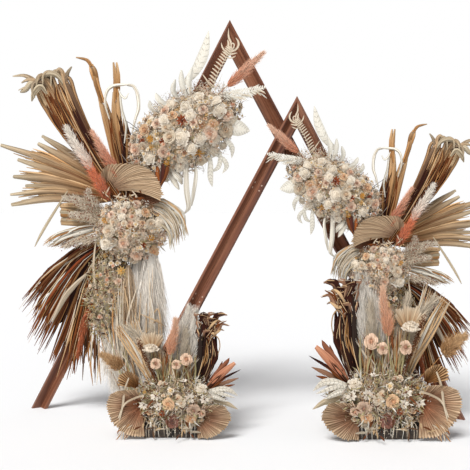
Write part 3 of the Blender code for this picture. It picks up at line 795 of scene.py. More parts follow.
def flowers_upper():
    bank = Bank((0.235, 0.14, 1.655), (0.335, 0.15, 0.195), 0.60, 3)
    bank.heroes([
        ("rust", 0.205, 1.706, 68), ("peach", 0.262, 1.739, 60), ("brown_eye", 0.351, 1.692, 56),
        ("brown_eye", 0.143, 1.694, 50), ("brown_eye", 0.093, 1.763, 52), ("peach", 0.042, 1.687, 62),
        ("blush", -0.030, 1.740, 60), ("white", 0.120, 1.835, 62), ("white", 0.211, 1.618, 104),
        ("mustard", 0.391, 1.610, 46), ("straw", 0.383, 1.566, 38), ("rust", 0.440, 1.599, 36),
        ("rust", 0.320, 1.598, 38), ("brown_eye", 0.314, 1.537, 62), ("small_brown", 0.200, 1.536, 46),
        ("small_brown", 0.257, 1.509, 32), ("mustard", 0.132, 1.536, 50), ("mustard", 0.303, 1.482, 38),
        ("white", 0.110, 1.610, 72), ("cream", 0.297, 1.669, 50), ("white", 0.040, 1.610, 78),
        ("white", 0.275, 1.795, 70), ("white", 0.190, 1.780, 66), ("white", 0.400, 1.510, 84),
        ("white", 0.060, 1.550, 76), ("white", 0.240, 1.460, 60), ("small_pink", -0.050, 1.800, 40),
        ("cream", -0.015, 1.660, 88), ("white", 0.010, 1.760, 84), ("blush", 0.060, 1.640, 84), ("white", -0.045, 1.710, 70),
        ("white", 0.165, 1.560, 80), ("cream", 0.130, 1.500, 60), ("white", 0.160, 1.730, 76),
    ])
    fill_bank(bank, 260, 0.050, 0.086, top=1.83, dark=1.1)
    random = bank.random
    for root, end in (((0.042, 0.28, 1.779), (-0.047, 0.29, 1.825)), ((0.182, 0.26, 1.885), (0.171, 0.27, 1.847)),
                      ((0.440, 0.22, 1.62), (0.52, 0.24, 1.68)), ((0.12, 0.27, 1.52), (0.13, 0.29, 1.46)),
                      ((0.47, 0.22, 1.66), (0.555, 0.22, 1.72)), ((0.45, 0.22, 1.60), (0.53, 0.22, 1.65))):
        stem(bank.heap, [root, (np.array(root) + end) / 2 + random.normal(0, 0.006, 3), end], 0.0022, SEED_DARK)
    for path, tint in (([(0.359, 0.24, 1.460), (0.355, 0.26, 1.41), (0.337, 0.25, 1.350)], BROWN * 1.3),
                       ([(0.325, 0.25, 1.475), (0.325, 0.27, 1.42), (0.338, 0.26, 1.355)], RUST_DARK),
                       ([(0.300, 0.24, 1.470), (0.310, 0.26, 1.41), (0.342, 0.26, 1.345)], BROWN)):
        blade(bank.heap, path, 0.026, tint, fold=0.7, rows=8, taper=0.1, root=0.9, stripes=0.25, random=random)
    for path, width in (([(0.20, 0.20, 1.84), (0.23, 0.20, 1.92), (0.235, 0.19, 1.995)], 0.050),
                        ([(0.18, 0.20, 1.84), (0.19, 0.20, 1.93), (0.175, 0.18, 2.010)], 0.050),
                        ([(0.24, 0.20, 1.82), (0.28, 0.20, 1.88), (0.270, 0.19, 1.945)], 0.046),
                        ([(0.30, 0.20, 1.79), (0.36, 0.20, 1.83), (0.385, 0.19, 1.870)], 0.046),
                        ([(0.36, 0.20, 1.75), (0.41, 0.20, 1.79), (0.420, 0.19, 1.830)], 0.040)):
        blade(bank.heap, path, width * 0.7, BLEACHED * 0.86, fold=0.3, rows=8, taper=0.25, root=0.5, wave=0.1, stripes=0.14,
              random=random)
    return bank.heap


def flowers_middle():
    bank = Bank((0.545, 0.14, 1.105), (0.195, 0.155, 0.175), 0.0, 5)
    bank.heroes([
        ("white", 0.592, 1.238, 46), ("white", 0.543, 1.245, 46), ("brown_eye", 0.488, 1.245, 50),
        ("peach", 0.404, 1.235, 62), ("small_brown", 0.341, 1.205, 36), ("brown_eye", 0.620, 1.189, 42),
        ("mustard", 0.664, 1.155, 42), ("small_pink", 0.497, 1.178, 34), ("small_brown", 0.509, 1.128, 32),
        ("small_brown", 0.440, 1.145, 32), ("cream", 0.632, 1.099, 72), ("white", 0.650, 1.032, 86),
        ("blush", 0.545, 1.033, 62), ("small_brown", 0.556, 1.085, 32), ("white", 0.370, 1.140, 92),
        ("mustard", 0.400, 1.062, 44), ("blush", 0.353, 1.063, 52), ("rust", 0.440, 1.023, 34),
        ("blush", 0.487, 0.966, 72), ("peach", 0.388, 0.965, 62), ("mustard", 0.670, 0.960, 42),
        ("white", 0.556, 1.178, 50), ("white", 0.462, 1.200, 46), ("cream", 0.668, 1.222, 44), ("small_white", 0.690, 1.238, 34),
        ("cream", 0.520, 0.935, 54), ("small_white", 0.560, 0.945, 38), ("small_brown", 0.600, 0.930, 34),
    ])
    fill_bank(bank, 130, 0.036, 0.060)
    return bank.heap


def flowers_lower():
    bank = Bank((0.675, 0.13, 0.72), (0.13, 0.11, 0.27), -0.08, 7)
    bank.heroes([
        ("straw", 0.590, 0.868, 58), ("mustard", 0.690, 0.950, 36), ("blush", 0.600, 0.810, 44),
        ("small_pink", 0.660, 0.820, 34), ("straw", 0.720, 0.840, 34), ("small_brown", 0.640, 0.760, 30),
    ])
    bank.scatter(SMALL_MIX, 220, 0.022, 0.040, overlap=0.7)
    bank.body(0.62)
    bank.bits(900, 0.010, 0.035, 0.0045, OLIVE_BITS)
    bank.bits(600, 0.010, 0.035, 0.0045)
    bank.buds(300, 0.0048, OLIVE, (0.95, 1.2))
    bank.buds(220, 0.0050, CREAM, (0.95, 1.15))
    bank.buds(180, 0.0048, SEED_DARK, (0.92, 1.10))
    bank.buds(90, 0.0060, MUSTARD, (0.95, 1.10))
    bank.breath(14, 0.060, OLIVE * 1.1)
    bank.leaves(120, 0.03, 0.08, 0.009, BROWN, 0.4)
    bank.leaves(80, 0.03, 0.08, 0.009, OLIVE)
    bank.leaves(50, 0.05, 0.10, 0.005, CREAM)
    return bank.heap


def cream_pampas():
    heap = Heap()
    columns = (
        ((0.43, 0.15, 1.00), (0.415, 0.17, 0.76), (0.405, 0.15, 0.50), (0.44, 0.13, 0.20), 0.085, 3400, PLUME_WHITE),
        ((0.51, 0.12, 0.98), (0.50, 0.14, 0.72), (0.51, 0.13, 0.44), (0.54, 0.10, 0.13), 0.085, 3000, PLUME_WHITE),
        ((0.62, 0.15, 0.62), (0.63, 0.17, 0.48), (0.61, 0.15, 0.32), (0.58, 0.12, 0.15), 0.070, 2000, PLUME_WHITE),
        ((0.66, 0.15, 0.58), (0.67, 0.16, 0.44), (0.65, 0.14, 0.30), (0.61, 0.12, 0.20), 0.055, 1500, PLUME_WHITE),
        ((0.56, 0.17, 0.90), (0.55, 0.19, 0.78), (0.54, 0.18, 0.60), (0.52, 0.16, 0.42), 0.040, 900, PLUME_TAN),
    )
    for k, (*path, radius, count, tint) in enumerate(columns):
        plume(heap, path, radius, count, tint * 0.95, tint, 40 + k, length=0.13, spread=0.34, width=0.0032, sag=0.5,
              core=0.62, blunt=0.5, depth=0.45)
    random = np.random.default_rng(61)
    for k in range(34):
        across = random.uniform(0.53, 0.63) if k % 3 else random.uniform(0.38, 0.50)
        top = np.array((across, random.uniform(0.20, 0.25), random.uniform(0.66, 0.90)))
        foot = np.array((top[0] + random.normal(0, 0.03), 0.21, random.uniform(0.28, 0.50)))
        tint = (TAN * 1.1, TAN_PALE, CREAM, CREAM, BROWN, WHITE, CREAM)[random.integers(7)]
        middle = (top + foot) / 2 + random.normal(0, 0.012, 3)
        blade(heap, [top, middle, foot], random.uniform(0.004, 0.010), tint, rows=8, columns=3, taper=0.2)
    for k in range(40):
        top = np.array((random.uniform(0.56, 0.72), random.uniform(0.17, 0.23), random.uniform(0.40, 0.60)))
        foot = np.array((top[0] * 0.6 + random.uniform(0.12, 0.20), 0.18, random.uniform(0.13, 0.25)))
        tint = (CREAM, WHITE, TAN_PALE, TAN, OLIVE)[random.integers(5)]
        middle = (top + foot) / 2 + random.normal(0, 0.015, 3)
        blade(heap, [top, middle, foot], random.uniform(0.004, 0.010), tint, rows=8, columns=3, taper=0.2)
    for top, turn, end in (((0.41, 0.22, 0.60), (0.36, 0.24, 0.66), (0.34, 0.23, 0.50)),
                           ((0.47, 0.23, 0.63), (0.38, 0.25, 0.60), (0.32, 0.22, 0.56)),
                           ((0.44, 0.22, 0.52), (0.36, 0.24, 0.60), (0.37, 0.22, 0.42))):
        blade(heap, [top, turn, end], 0.008, TAN_PALE * 0.9, rows=10, columns=3)
    return heap


def pleated_fan():
    heap = Heap()
    shell_fan(heap, (0.690, 0.155, 1.315),
              ((0.712, 0.19, 1.405), (0.665, 0.200, 1.466), (0.570, 0.210, 1.478), (0.460, 0.222, 1.470), (0.390, 0.232, 1.440),
               (0.350, 0.235, 1.395), (0.330, 0.235, 1.350), (0.320, 0.230, 1.305), (0.330, 0.225, 1.265)), 30,
              (SHELL_BROWN, SHELL, SHELL * 1.05, SHELL_DARK), depth=0.006, cup=0.035, bow=(0.0, 0.0, 0.030), ragged=0.008,
              seed=2, crease_shade=0.42)
    # A second, darker fan under the first: its dark browns are painted shade beneath the shell.
    shell_fan(heap, (0.66, 0.15, 1.290), ((0.40, 0.19, 1.320), (0.345, 0.20, 1.285), (0.36, 0.20, 1.255), (0.46, 0.19, 1.240)),
              12, (BROWN_DARK, BROWN, SHELL_BROWN, BROWN_DARK), depth=0.008, cup=0.02, bow=(0.0, 0.0, 0.012), ragged=0.012,
              seed=4)
    random = np.random.default_rng(67)
    for _ in range(26):
        start = np.array((random.uniform(0.45, 0.70), 0.235, random.uniform(1.27, 1.31)))
        end = start + np.array((random.normal(0, 0.04), 0.01, random.uniform(-0.02, 0.05)))
        blade(heap, [start, (start + end) / 2, end], 0.008, (CREAM, TAN_PALE, BROWN)[random.integers(3)], rows=5, columns=3)
    return heap


def palm_fan_side():
    heap = Heap()
    hub = (0.64, 0.11, 1.275)
    tips = (
        ((0.80, 0.11, 1.44), (0.95, 0.10, 1.555), (1.112, 0.09, 1.650)),
        ((0.82, 0.11, 1.43), (0.99, 0.10, 1.525), (1.145, 0.08, 1.605)),
        ((0.84, 0.11, 1.41), (1.07, 0.10, 1.510), (1.257, 0.07, 1.560)),
        ((0.84, 0.11, 1.40), (1.10, 0.09, 1.510), (1.385, 0.06, 1.599)),
        ((0.84, 0.11, 1.38), (1.06, 0.09, 1.450), (1.283, 0.06, 1.510)),
        ((0.84, 0.11, 1.35), (1.08, 0.09, 1.395), (1.312, 0.06, 1.408)),
        ((0.82, 0.11, 1.32), (1.04, 0.09, 1.350), (1.235, 0.06, 1.360)),
        ((0.82, 0.11, 1.30), (1.06, 0.10, 1.325), (1.331, 0.06, 1.301)),
        ((0.80, 0.11, 1.27), (1.04, 0.10, 1.280), (1.322, 0.06, 1.237)),
    )
    random = np.random.default_rng(71)
    paths = [[hub, *tip] for tip in tips]
    blunt = [between(path, path, 0.5, 0.0, 0.003, random) for path in paths]
    fingers(heap, blunt, 0.044, (TAN * 0.8, TAN * 0.9, TAN * 0.7), 72, glow=(0.75, 1.05), taper=0.45, root=0.25, rows=16,
            tip_tint=GREIGE * 0.85)
    for k in range(44):
        low = k % (len(tips) - 1)
        path = between(paths[low], paths[low + 1], random.uniform(0.2, 0.8), random.uniform(-0.014, 0.008), 0.006, random)
        path[3] = path[2] + (path[3] - path[2]) * random.uniform(0.3, 0.95)
        fingers(heap, [path], 0.018, (TAN, TAN_DARK * 1.2, TAN_DARK, TAN_PALE * 0.8, BROWN_DARK, TAN), 700 + k, taper=0.3, rows=14,
                tip_tint=TAN_PALE)
    # Dark blades behind the fingers, painted shade in the gaps between them near the hub.
    for k in range(18):
        low = k % (len(tips) - 1)
        path = between(paths[low], paths[low + 1], random.uniform(0.1, 0.9), -0.022, 0.004, random)
        path[3] = path[2] + (path[3] - path[2]) * random.uniform(-0.4, 0.3)
        blade(heap, path, 0.040, (TAN_DARK, BROWN_DARK, BROWN)[k % 3], rows=12, taper=0.3)
    return heap


def palm_fan_curled():
    heap = Heap()
    random = np.random.default_rng(81)
    left = [(0.60, 0.15, 1.24), (0.80, 0.16, 1.470), (0.965, 0.16, 1.670), (1.065, 0.16, 1.820), (1.100, 0.17, 1.905)]
    right = [(0.56, 0.15, 1.25), (0.66, 0.16, 1.470), (0.765, 0.17, 1.640), (0.865, 0.17, 1.840), (0.912, 0.17, 1.955)]
    ends = (
        ((1.124, 0.18, 1.964), (1.180, 0.18, 1.992), (1.254, 0.17, 1.991)),
        ((1.110, 0.19, 1.925), (1.165, 0.20, 1.920), (1.206, 0.20, 1.905)),
        ((1.095, 0.20, 1.955), (1.150, 0.20, 1.962), (1.195, 0.18, 1.950)),
        ((1.090, 0.20, 1.950), (1.110, 0.22, 1.910), (1.098, 0.22, 1.855)),
        ((1.060, 0.19, 1.985), (1.085, 0.21, 1.965), (1.090, 0.21, 1.900)),
        ((1.010, 0.19, 2.005), (1.045, 0.21, 1.990), (1.055, 0.20, 1.925)),
        ((0.970, 0.18, 2.010), (1.000, 0.20, 1.995), (1.005, 0.20, 1.925)),
        ((0.945, 0.18, 2.005), (0.965, 0.19, 2.020), (0.985, 0.18, 1.975)),
        ((0.922, 0.17, 1.985), (0.910, 0.17, 2.010), (0.890, 0.17, 2.036)),
    )
    count = 17
    for k in range(count):
        place = k / (count - 1)
        end = ends[int(round(place * (len(ends) - 1)))]
        path = list(between(left, right, place, random.uniform(-0.01, 0.01), 0.006, random)) + [np.array(e) for e in end]
        tint = (TAN, TAN_PALE * 0.9, TAN * 0.7, TAN_DARK * 1.2)[random.integers(4)] * random.uniform(0.75, 1.15)
        blade(heap, path, random.uniform(0.020, 0.034), tint, fold=0.9, rows=24, taper=0.25, root=0.5,
              twist=random.normal(0, 0.4), tip_tint=GREIGE * 0.9, wave=0.10, stripes=0.28, random=random)
    for _ in range(40):
        share = random.random()
        path = list(between(left, right, share, 0.010 + 0.016 * random.random(), 0.010, random))
        stop = random.integers(3, 6)
        tint = (TAN_DARK, BROWN_DARK, BROWN, TAN_PALE, TAN, TAN)[random.integers(6)]
        blade(heap, path[:stop], random.uniform(0.006, 0.013), tint, fold=0.4, rows=14, columns=3, taper=0.2)
    # Narrow dark strips between the fingers, painted shade in the slits between them.
    for share in (0.55, 0.80, 0.86, 0.92):
        path = list(between(left, right, share, 0.020, 0.004, random))
        blade(heap, path[1:4], 0.011, BROWN_DARK, fold=0.3, rows=12, columns=3, taper=0.2, root=0.2)
    for _ in range(26):
        path = list(between(left, right, random.random(), -0.004, 0.006, random))
        tint = (TAN, TAN_DARK * 1.3, BROWN, TAN * 0.8)[random.integers(4)]
        blade(heap, path, 0.022, tint, fold=0.9, rows=14, root=0.8, stripes=0.25, random=random)
    for path in ([(1.08, 0.19, 1.93), (1.12, 0.21, 1.945), (1.16, 0.20, 1.91), (1.200, 0.19, 1.895)],
                 [(1.03, 0.20, 1.88), (1.06, 0.22, 1.92), (1.10, 0.22, 1.885), (1.125, 0.20, 1.84)],
                 [(0.93, 0.18, 1.93), (0.97, 0.20, 1.985), (1.03, 0.20, 1.995), (1.08, 0.19, 1.96)]):
        blade(heap, path, 0.036, GREIGE * 0.9, fold=0.6, rows=14, taper=0.2, stripes=0.25, random=random)
    return heap


def palm_fan_upper():
    heap = Heap()
    random = np.random.default_rng(91)
    root = (0.575, 0.06, 1.28)
    tall = (
        ([root, (0.655, 0.055, 1.506), (0.720, 0.04, 1.740), (0.762, 0.03, 1.870)], 0.066, 1.0),
        ([(0.752, 0.04, 1.840), (0.786, 0.03, 1.935), (0.806, 0.02, 2.000), (0.833, 0.01, 2.072)], 0.036, 0.95),
        ([(0.800, 0.02, 1.975), (0.812, 0.02, 2.020), (0.830, 0.01, 2.060)], 0.046, 1.0),
        ([(0.825, 0.02, 2.055), (0.850, 0.015, 2.090), (0.880, 0.01, 2.104), (0.920, 0.01, 2.113)], 0.024, 0.9),
        ([root, (0.620, 0.055, 1.520), (0.662, 0.05, 1.760), (0.668, 0.045, 1.900)], 0.058, 1.0),
        ([(0.666, 0.05, 1.840), (0.664, 0.04, 1.930), (0.668, 0.03, 2.000), (0.681, 0.02, 2.075)], 0.042, 1.0),
    )
    for path, width, glow in tall:
        for shift in (-0.20, 0.20):
            moved = [(p[0] + shift * width, p[1] + 0.008 * (shift > 0), p[2]) for p in path]
            blade(heap, moved, width * 0.62, TAN * glow * random.uniform(0.8, 1.1), fold=0.9, rows=16, taper=0.45, root=0.7,
                  twist=0.2, tip_tint=TAN_PALE * 0.95, wave=0.06, stripes=0.22, random=random)
    low = [root, (0.575, 0.055, 1.480), (0.580, 0.05, 1.620), (0.590, 0.05, 1.730)]
    high = [root, (0.665, 0.055, 1.520), (0.725, 0.04, 1.690), (0.750, 0.03, 1.830)]
    for k in range(38):
        path = between(low, high, k / 37, random.uniform(-0.004, 0.020), 0.006, random)
        path[3] = path[2] + (path[3] - path[2]) * random.uniform(0.2, 1.0)
        tint = (TAN, BROWN, TAN * 0.6, BROWN_DARK, TAN_DARK, BROWN, BROWN_DARK)[random.integers(7)]
        blade(heap, path, random.uniform(0.010, 0.018), tint, fold=0.9, rows=14, taper=0.25, root=0.6, stripes=0.2,
              random=random)
    # Narrow dark strips between the fingers, painted shade in the slits between them.
    for share in (0.30, 0.38, 0.46, 0.54, 0.62):
        path = between(low, high, share, 0.022, 0.006, random)
        blade(heap, path, 0.012, BROWN_DARK * 0.8, fold=0.4, rows=12, columns=3, taper=0.2, root=0.8)
    curls = (
        ([(0.70, 0.07, 1.740), (0.722, 0.08, 1.830), (0.716, 0.07, 1.900), (0.681, 0.06, 1.934), (0.626, 0.06, 1.940),
          (0.578, 0.07, 1.940)], 0.034),
        ([(0.560, 0.08, 1.660), (0.540, 0.08, 1.740), (0.524, 0.07, 1.800), (0.532, 0.06, 1.880), (0.560, 0.05, 1.930),
          (0.600, 0.05, 1.940)], 0.040),
        ([(0.645, 0.07, 1.915), (0.630, 0.07, 1.880), (0.604, 0.07, 1.860), (0.582, 0.07, 1.890)], 0.022),
        ([(0.61, 0.07, 1.600), (0.60, 0.07, 1.700), (0.625, 0.07, 1.800), (0.640, 0.06, 1.900)], 0.030),
    )
    for path, width in curls:
        blade(heap, path, width * 0.6, BLEACHED * 0.92, fold=0.7, rows=22, taper=0.5, twist=0.3, wave=0.1, stripes=0.22,
              random=random)
    return heap


def bleached_palm():
    heap = Heap()
    random = np.random.default_rng(101)
    first = [(0.46, 0.16, 1.22), (0.385, 0.19, 1.170), (0.325, 0.19, 1.090), (0.300, 0.18, 0.985)]
    last = [(0.46, 0.16, 1.27), (0.34, 0.19, 1.275), (0.240, 0.19, 1.205), (0.198, 0.18, 1.060)]
    for k in range(44):
        path = between(first, last, k / 43, random.normal(0, 0.010), 0.008, random)
        path[3] = path[2] + (path[3] - path[2]) * random.uniform(0.5, 1.05)
        tint = (BLEACHED, CREAM, GREIGE, TAN_PALE)[random.integers(4)] * random.uniform(0.75, 1.05)
        blade(heap, path, random.uniform(0.006, 0.016), tint, fold=0.6, rows=10, columns=3, taper=0.1)
    ribbons = (
        ([(0.20, 0.18, 1.52), (0.206, 0.20, 1.45), (0.205, 0.20, 1.33), (0.195, 0.19, 1.235), (0.225, 0.18, 1.195)], 0.032),
        ([(0.17, 0.18, 1.50), (0.150, 0.20, 1.42), (0.165, 0.20, 1.31), (0.180, 0.18, 1.240)], 0.022),
        ([(0.31, 0.19, 1.47), (0.270, 0.21, 1.42), (0.245, 0.20, 1.39), (0.235, 0.18, 1.36)], 0.034),
        ([(0.32, 0.19, 1.44), (0.290, 0.21, 1.40), (0.265, 0.20, 1.36), (0.250, 0.19, 1.33)], 0.030),
        ([(0.27, 0.18, 1.50), (0.225, 0.20, 1.46), (0.210, 0.20, 1.43), (0.200, 0.19, 1.40)], 0.030),
    )
    for path, width in ribbons:
        blade(heap, path, width, BLEACHED * 0.95, fold=0.5, rows=16, taper=0.2, twist=0.5, wave=0.12, stripes=0.15, random=random)
    return heap


def grass_fan():
    heap = Heap()
    random = np.random.default_rng(111)
    top = [(0.68, 0.15, 1.170), (0.78, 0.15, 1.205), (0.88, 0.15, 1.230), (0.980, 0.14, 1.243)]
    low = [(0.68, 0.15, 1.120), (0.77, 0.15, 1.125), (0.87, 0.15, 1.130), (0.968, 0.14, 1.130)]
    fingers(heap, [between(top, low, k / 9, 0.0, 0.004, random) for k in range(10)], 0.030,
            (TAN_PALE * 0.7, GREIGE * 0.62, TAN * 0.8), 112, fold=0.6, taper=0.8, root=0.4)
    spread = [(0.70, 0.16, 1.14), (0.84, 0.16, 1.120), (0.99, 0.16, 1.075), (1.113, 0.14, 1.000)]
    under = [(0.70, 0.16, 1.10), (0.80, 0.16, 1.07), (0.89, 0.16, 1.03), (0.985, 0.14, 0.99)]
    for k in range(46):
        path = between(spread, under, random.random() ** 1.2, random.normal(0.004, 0.01), 0.008, random)
        path[3] = path[2] + (path[3] - path[2]) * random.uniform(0.5, 1.02)
        tint = (BLEACHED, GREIGE, TAN_PALE, BLEACHED, TAN)[random.integers(5)] * 0.95
        blade(heap, path, random.uniform(0.005, 0.014), tint, fold=0.4, rows=10, columns=3, taper=0.15)
    blade(heap, [(0.93, 0.15, 1.325), (0.978, 0.15, 1.254), (1.053, 0.15, 1.143), (1.104, 0.15, 1.061), (1.143, 0.14, 0.996)],
          0.018, GREIGE * 0.85, rows=12)
    sprays = (
        ([(0.69, 0.19, 1.190), (0.78, 0.21, 1.235), (0.86, 0.20, 1.275), (0.945, 0.19, 1.285)], 0.050, 1800),
        ([(0.69, 0.20, 1.150), (0.76, 0.22, 1.175), (0.84, 0.21, 1.185), (0.90, 0.19, 1.190)], 0.045, 1300),
        ([(0.70, 0.20, 1.200), (0.74, 0.22, 1.250), (0.78, 0.21, 1.300), (0.79, 0.19, 1.330)], 0.040, 1000),
        ([(0.72, 0.20, 1.060), (0.80, 0.21, 1.045), (0.88, 0.20, 1.025), (0.94, 0.18, 1.000)], 0.040, 900),
    )
    for k, (path, radius, count) in enumerate(sprays):
        plume(heap, path, radius, count, CREAM, WHITE, 113 + k, length=0.035, spread=1.3, width=0.0018, sag=0.1, core=0.25,
              blunt=0.4, depth=0.35)
        share = random.random(60)
        seeds = curve(path, share) + random.normal(0, radius * 0.45, (60, 3)) * (1, 0.6, 1) + FRONT * radius * 0.5
        plant(heap, BEAD, [stand(p, FRONT + UP, 0.0, 0.0040) for p in seeds], BROWN, ROSE_BROWN)
    return heap


def brown_palm():
    heap = Heap()
    random = np.random.default_rng(121)
    edges = (
        [(0.70, 0.12, 1.04), (0.86, 0.13, 0.995), (1.06, 0.12, 0.860), (1.259, 0.09, 0.676)],
        [(0.70, 0.12, 1.03), (0.88, 0.13, 0.940), (1.06, 0.12, 0.760), (1.213, 0.09, 0.524)],
        [(0.70, 0.12, 1.02), (0.86, 0.13, 0.900), (1.03, 0.12, 0.660), (1.180, 0.09, 0.400)],
        [(0.70, 0.12, 1.02), (0.84, 0.13, 0.850), (0.96, 0.12, 0.560), (1.085, 0.09, 0.285)],
        [(0.70, 0.12, 1.01), (0.80, 0.13, 0.800), (0.88, 0.12, 0.480), (0.955, 0.09, 0.200)],
        [(0.69, 0.12, 1.00), (0.76, 0.13, 0.780), (0.80, 0.12, 0.540), (0.810, 0.10, 0.360)],
    )

    def path_at(run, bow, wander):
        low = int(run)
        return between(edges[low], edges[low + 1], run - low, bow, wander, random)

    last = len(edges) - 1.001
    tints = (BROWN, BROWN * 0.6, TAN_DARK, TAN * 0.65, BROWN_DARK, BROWN_DARK, RUST * 0.6, TAN_DARK * 1.3)
    for k in range(110):
        path = path_at(random.uniform(0, last), random.normal(0, 0.014), 0.010)
        path[3] = path[2] + (path[3] - path[2]) * random.uniform(0.45, 1.03)
        fingers(heap, [path], 0.016, tints, 800 + k, taper=0.15, root=0.6, rows=10, columns=3, lean=0.5,
                tip_tint=BROWN)
    # Dark blades behind the fingers, painted shade in the gaps between them.
    for _ in range(26):
        path = path_at(random.uniform(0, last), -0.024, 0.006)
        path[3] = path[2] + (path[3] - path[2]) * random.uniform(-0.3, 0.4)
        blade(heap, path, 0.034, (BROWN_DARK, BROWN_DARK * 0.6)[random.integers(2)], rows=10, columns=3)
    # Near-black strips between the fingers, painted shade in the slits between them.
    for run in (1.5, 1.7, 1.9, 2.9, 3.1, 3.6):
        path = path_at(run, 0.020, 0.008)
        blade(heap, path[:3], 0.020, BROWN_DARK * 0.6, rows=10, columns=3, taper=0.15)
    for _ in range(30):
        path = path_at(random.uniform(0, last), 0.018, 0.014)
        path[3] = path[2] + (path[3] - path[2]) * random.uniform(0.3, 1.0)
        tint = (TAN_PALE, BLEACHED * 0.9, TAN, CREAM)[random.integers(4)]
        blade(heap, path, random.uniform(0.003, 0.008), tint, rows=8, columns=3, taper=0.2)
    blade(heap, [(0.790, 0.17, 0.862), (0.878, 0.18, 0.780), (0.950, 0.18, 0.695), (1.025, 0.17, 0.561)], 0.032, CREAM * 0.85,
          fold=0.8, rows=14, stripes=0.15, random=random)
    blade(heap, [(0.740, 0.20, 1.043), (0.752, 0.21, 0.917), (0.745, 0.21, 0.810), (0.736, 0.20, 0.699)], 0.016, CREAM * 0.95,
          fold=0.6, rows=12, taper=0.5)
    plume(heap, [(0.79, 0.16, 0.66), (0.83, 0.17, 0.54), (0.875, 0.16, 0.36)], 0.026, 700, PINK * 0.7, PINK * 0.9, 123,
          length=0.05, spread=0.5, sag=0.2)
    for k in range(22):
        end = np.array((random.uniform(0.70, 0.86), 0.13, random.uniform(0.17, 0.36)))
        start = np.array((end[0] * 0.6 + 0.30, 0.14, random.uniform(0.42, 0.60)))
        blade(heap, [start, (start + end) / 2 + random.normal(0, 0.01, 3), end], 0.010,
              (TAN, TWIG, BROWN, TAN_DARK, CREAM)[k % 5], rows=8, columns=3, taper=0.2)
    return heap


def pink_pampas():
    heap = Heap()
    plume(heap, [(0.655, 0.20, 1.270), (0.690, 0.23, 1.340), (0.740, 0.24, 1.430), (0.820, 0.24, 1.560)], 0.038, 1500,
          PINK, PINK * 1.3, 131, length=0.045, spread=0.9, blunt=0.6, depth=0.45)
    plume(heap, [(0.735, 0.235, 1.420), (0.785, 0.245, 1.510), (0.850, 0.24, 1.600), (0.903, 0.23, 1.693)], 0.034, 1400,
          PINK_PALE, PLUME_WHITE, 133, length=0.050, spread=0.8, blunt=0.7, whiten=0.35, depth=0.40)
    plume(heap, [(0.600, 0.19, 1.400), (0.640, 0.20, 1.470), (0.697, 0.20, 1.560), (0.765, 0.19, 1.670)], 0.036, 1500, PINK,
          PINK_PALE, 132, length=0.05, spread=0.7, depth=0.45)
    stem(heap, [(0.60, 0.14, 1.18), (0.62, 0.19, 1.23), (0.66, 0.22, 1.30)], 0.004, TAN)
    stem(heap, [(0.57, 0.10, 1.20), (0.565, 0.17, 1.31), (0.60, 0.19, 1.42)], 0.004, TAN)
    return heap


def apex_plume():
    heap = Heap()
    stem(heap, [(0.10, 0.16, 1.80), (0.03, 0.19, 1.85), (-0.05, 0.18, 1.93)], 0.003, TAN)
    plume(heap, [(-0.025, 0.18, 1.900), (-0.085, 0.18, 1.950), (-0.150, 0.17, 2.015), (-0.220, 0.14, 2.085)], 0.038, 1500,
          rgb(204, 128, 92), rgb(226, 190, 164), 141, length=0.045, spread=0.5, sag=0.0, flat=0.6, whiten=0.05, depth=0.4)
    return heap


def frond(heap, path, width, pairs, tint, seed, facing=FRONT, lean=0.45, leaflet=0.009):
    """A fern frond: a midrib and leaflets in pairs."""
    random = np.random.default_rng(seed)
    stem(heap, path, 0.0024, tint, rows=16)
    for k in range(pairs):
        share = 0.05 + 0.93 * k / (pairs - 1)
        root = curve(path, share)
        along = heading(path, share)
        across = unit(np.cross(along, facing))
        size = width * math.sin(math.pi * (0.14 + 0.84 * share)) ** 0.7
        for side in (-1, 1):
            aim = unit(across * side + along * lean + random.normal(0, 0.06, 3))
            curl = along * 0.35
            blade(heap, [root, root + aim * size * 0.55, root + (aim + curl * 0.5) * size], leaflet, tint, facing=facing,
                  rows=6, columns=3, taper=0.2, root=0.6)


def ghost_leaf(heap, path, width, seed, tint=BLEACHED):
    """A bleached leaf: a pale blade with darker veins that leave its middle."""
    random = np.random.default_rng(seed)
    blade(heap, path, width, tint * 0.96, fold=0.15, rows=10, taper=0.06, root=0.35, wave=0.05, random=random)
    veins = 9
    for k in range(veins):
        share = 0.10 + 0.78 * k / (veins - 1)
        root = curve(path, share) + FRONT * 0.004
        along = heading(path, share)
        across = unit(np.cross(along, FRONT))
        size = width * 0.46 * math.sin(math.pi * (0.2 + 0.75 * share))
        for side in (-1, 1):
            end = root + (across * side + along * 0.8) * size
            blade(heap, [root, (root + end) / 2, end], 0.0022, tint * 0.62, rows=4, columns=2, fold=0.0)


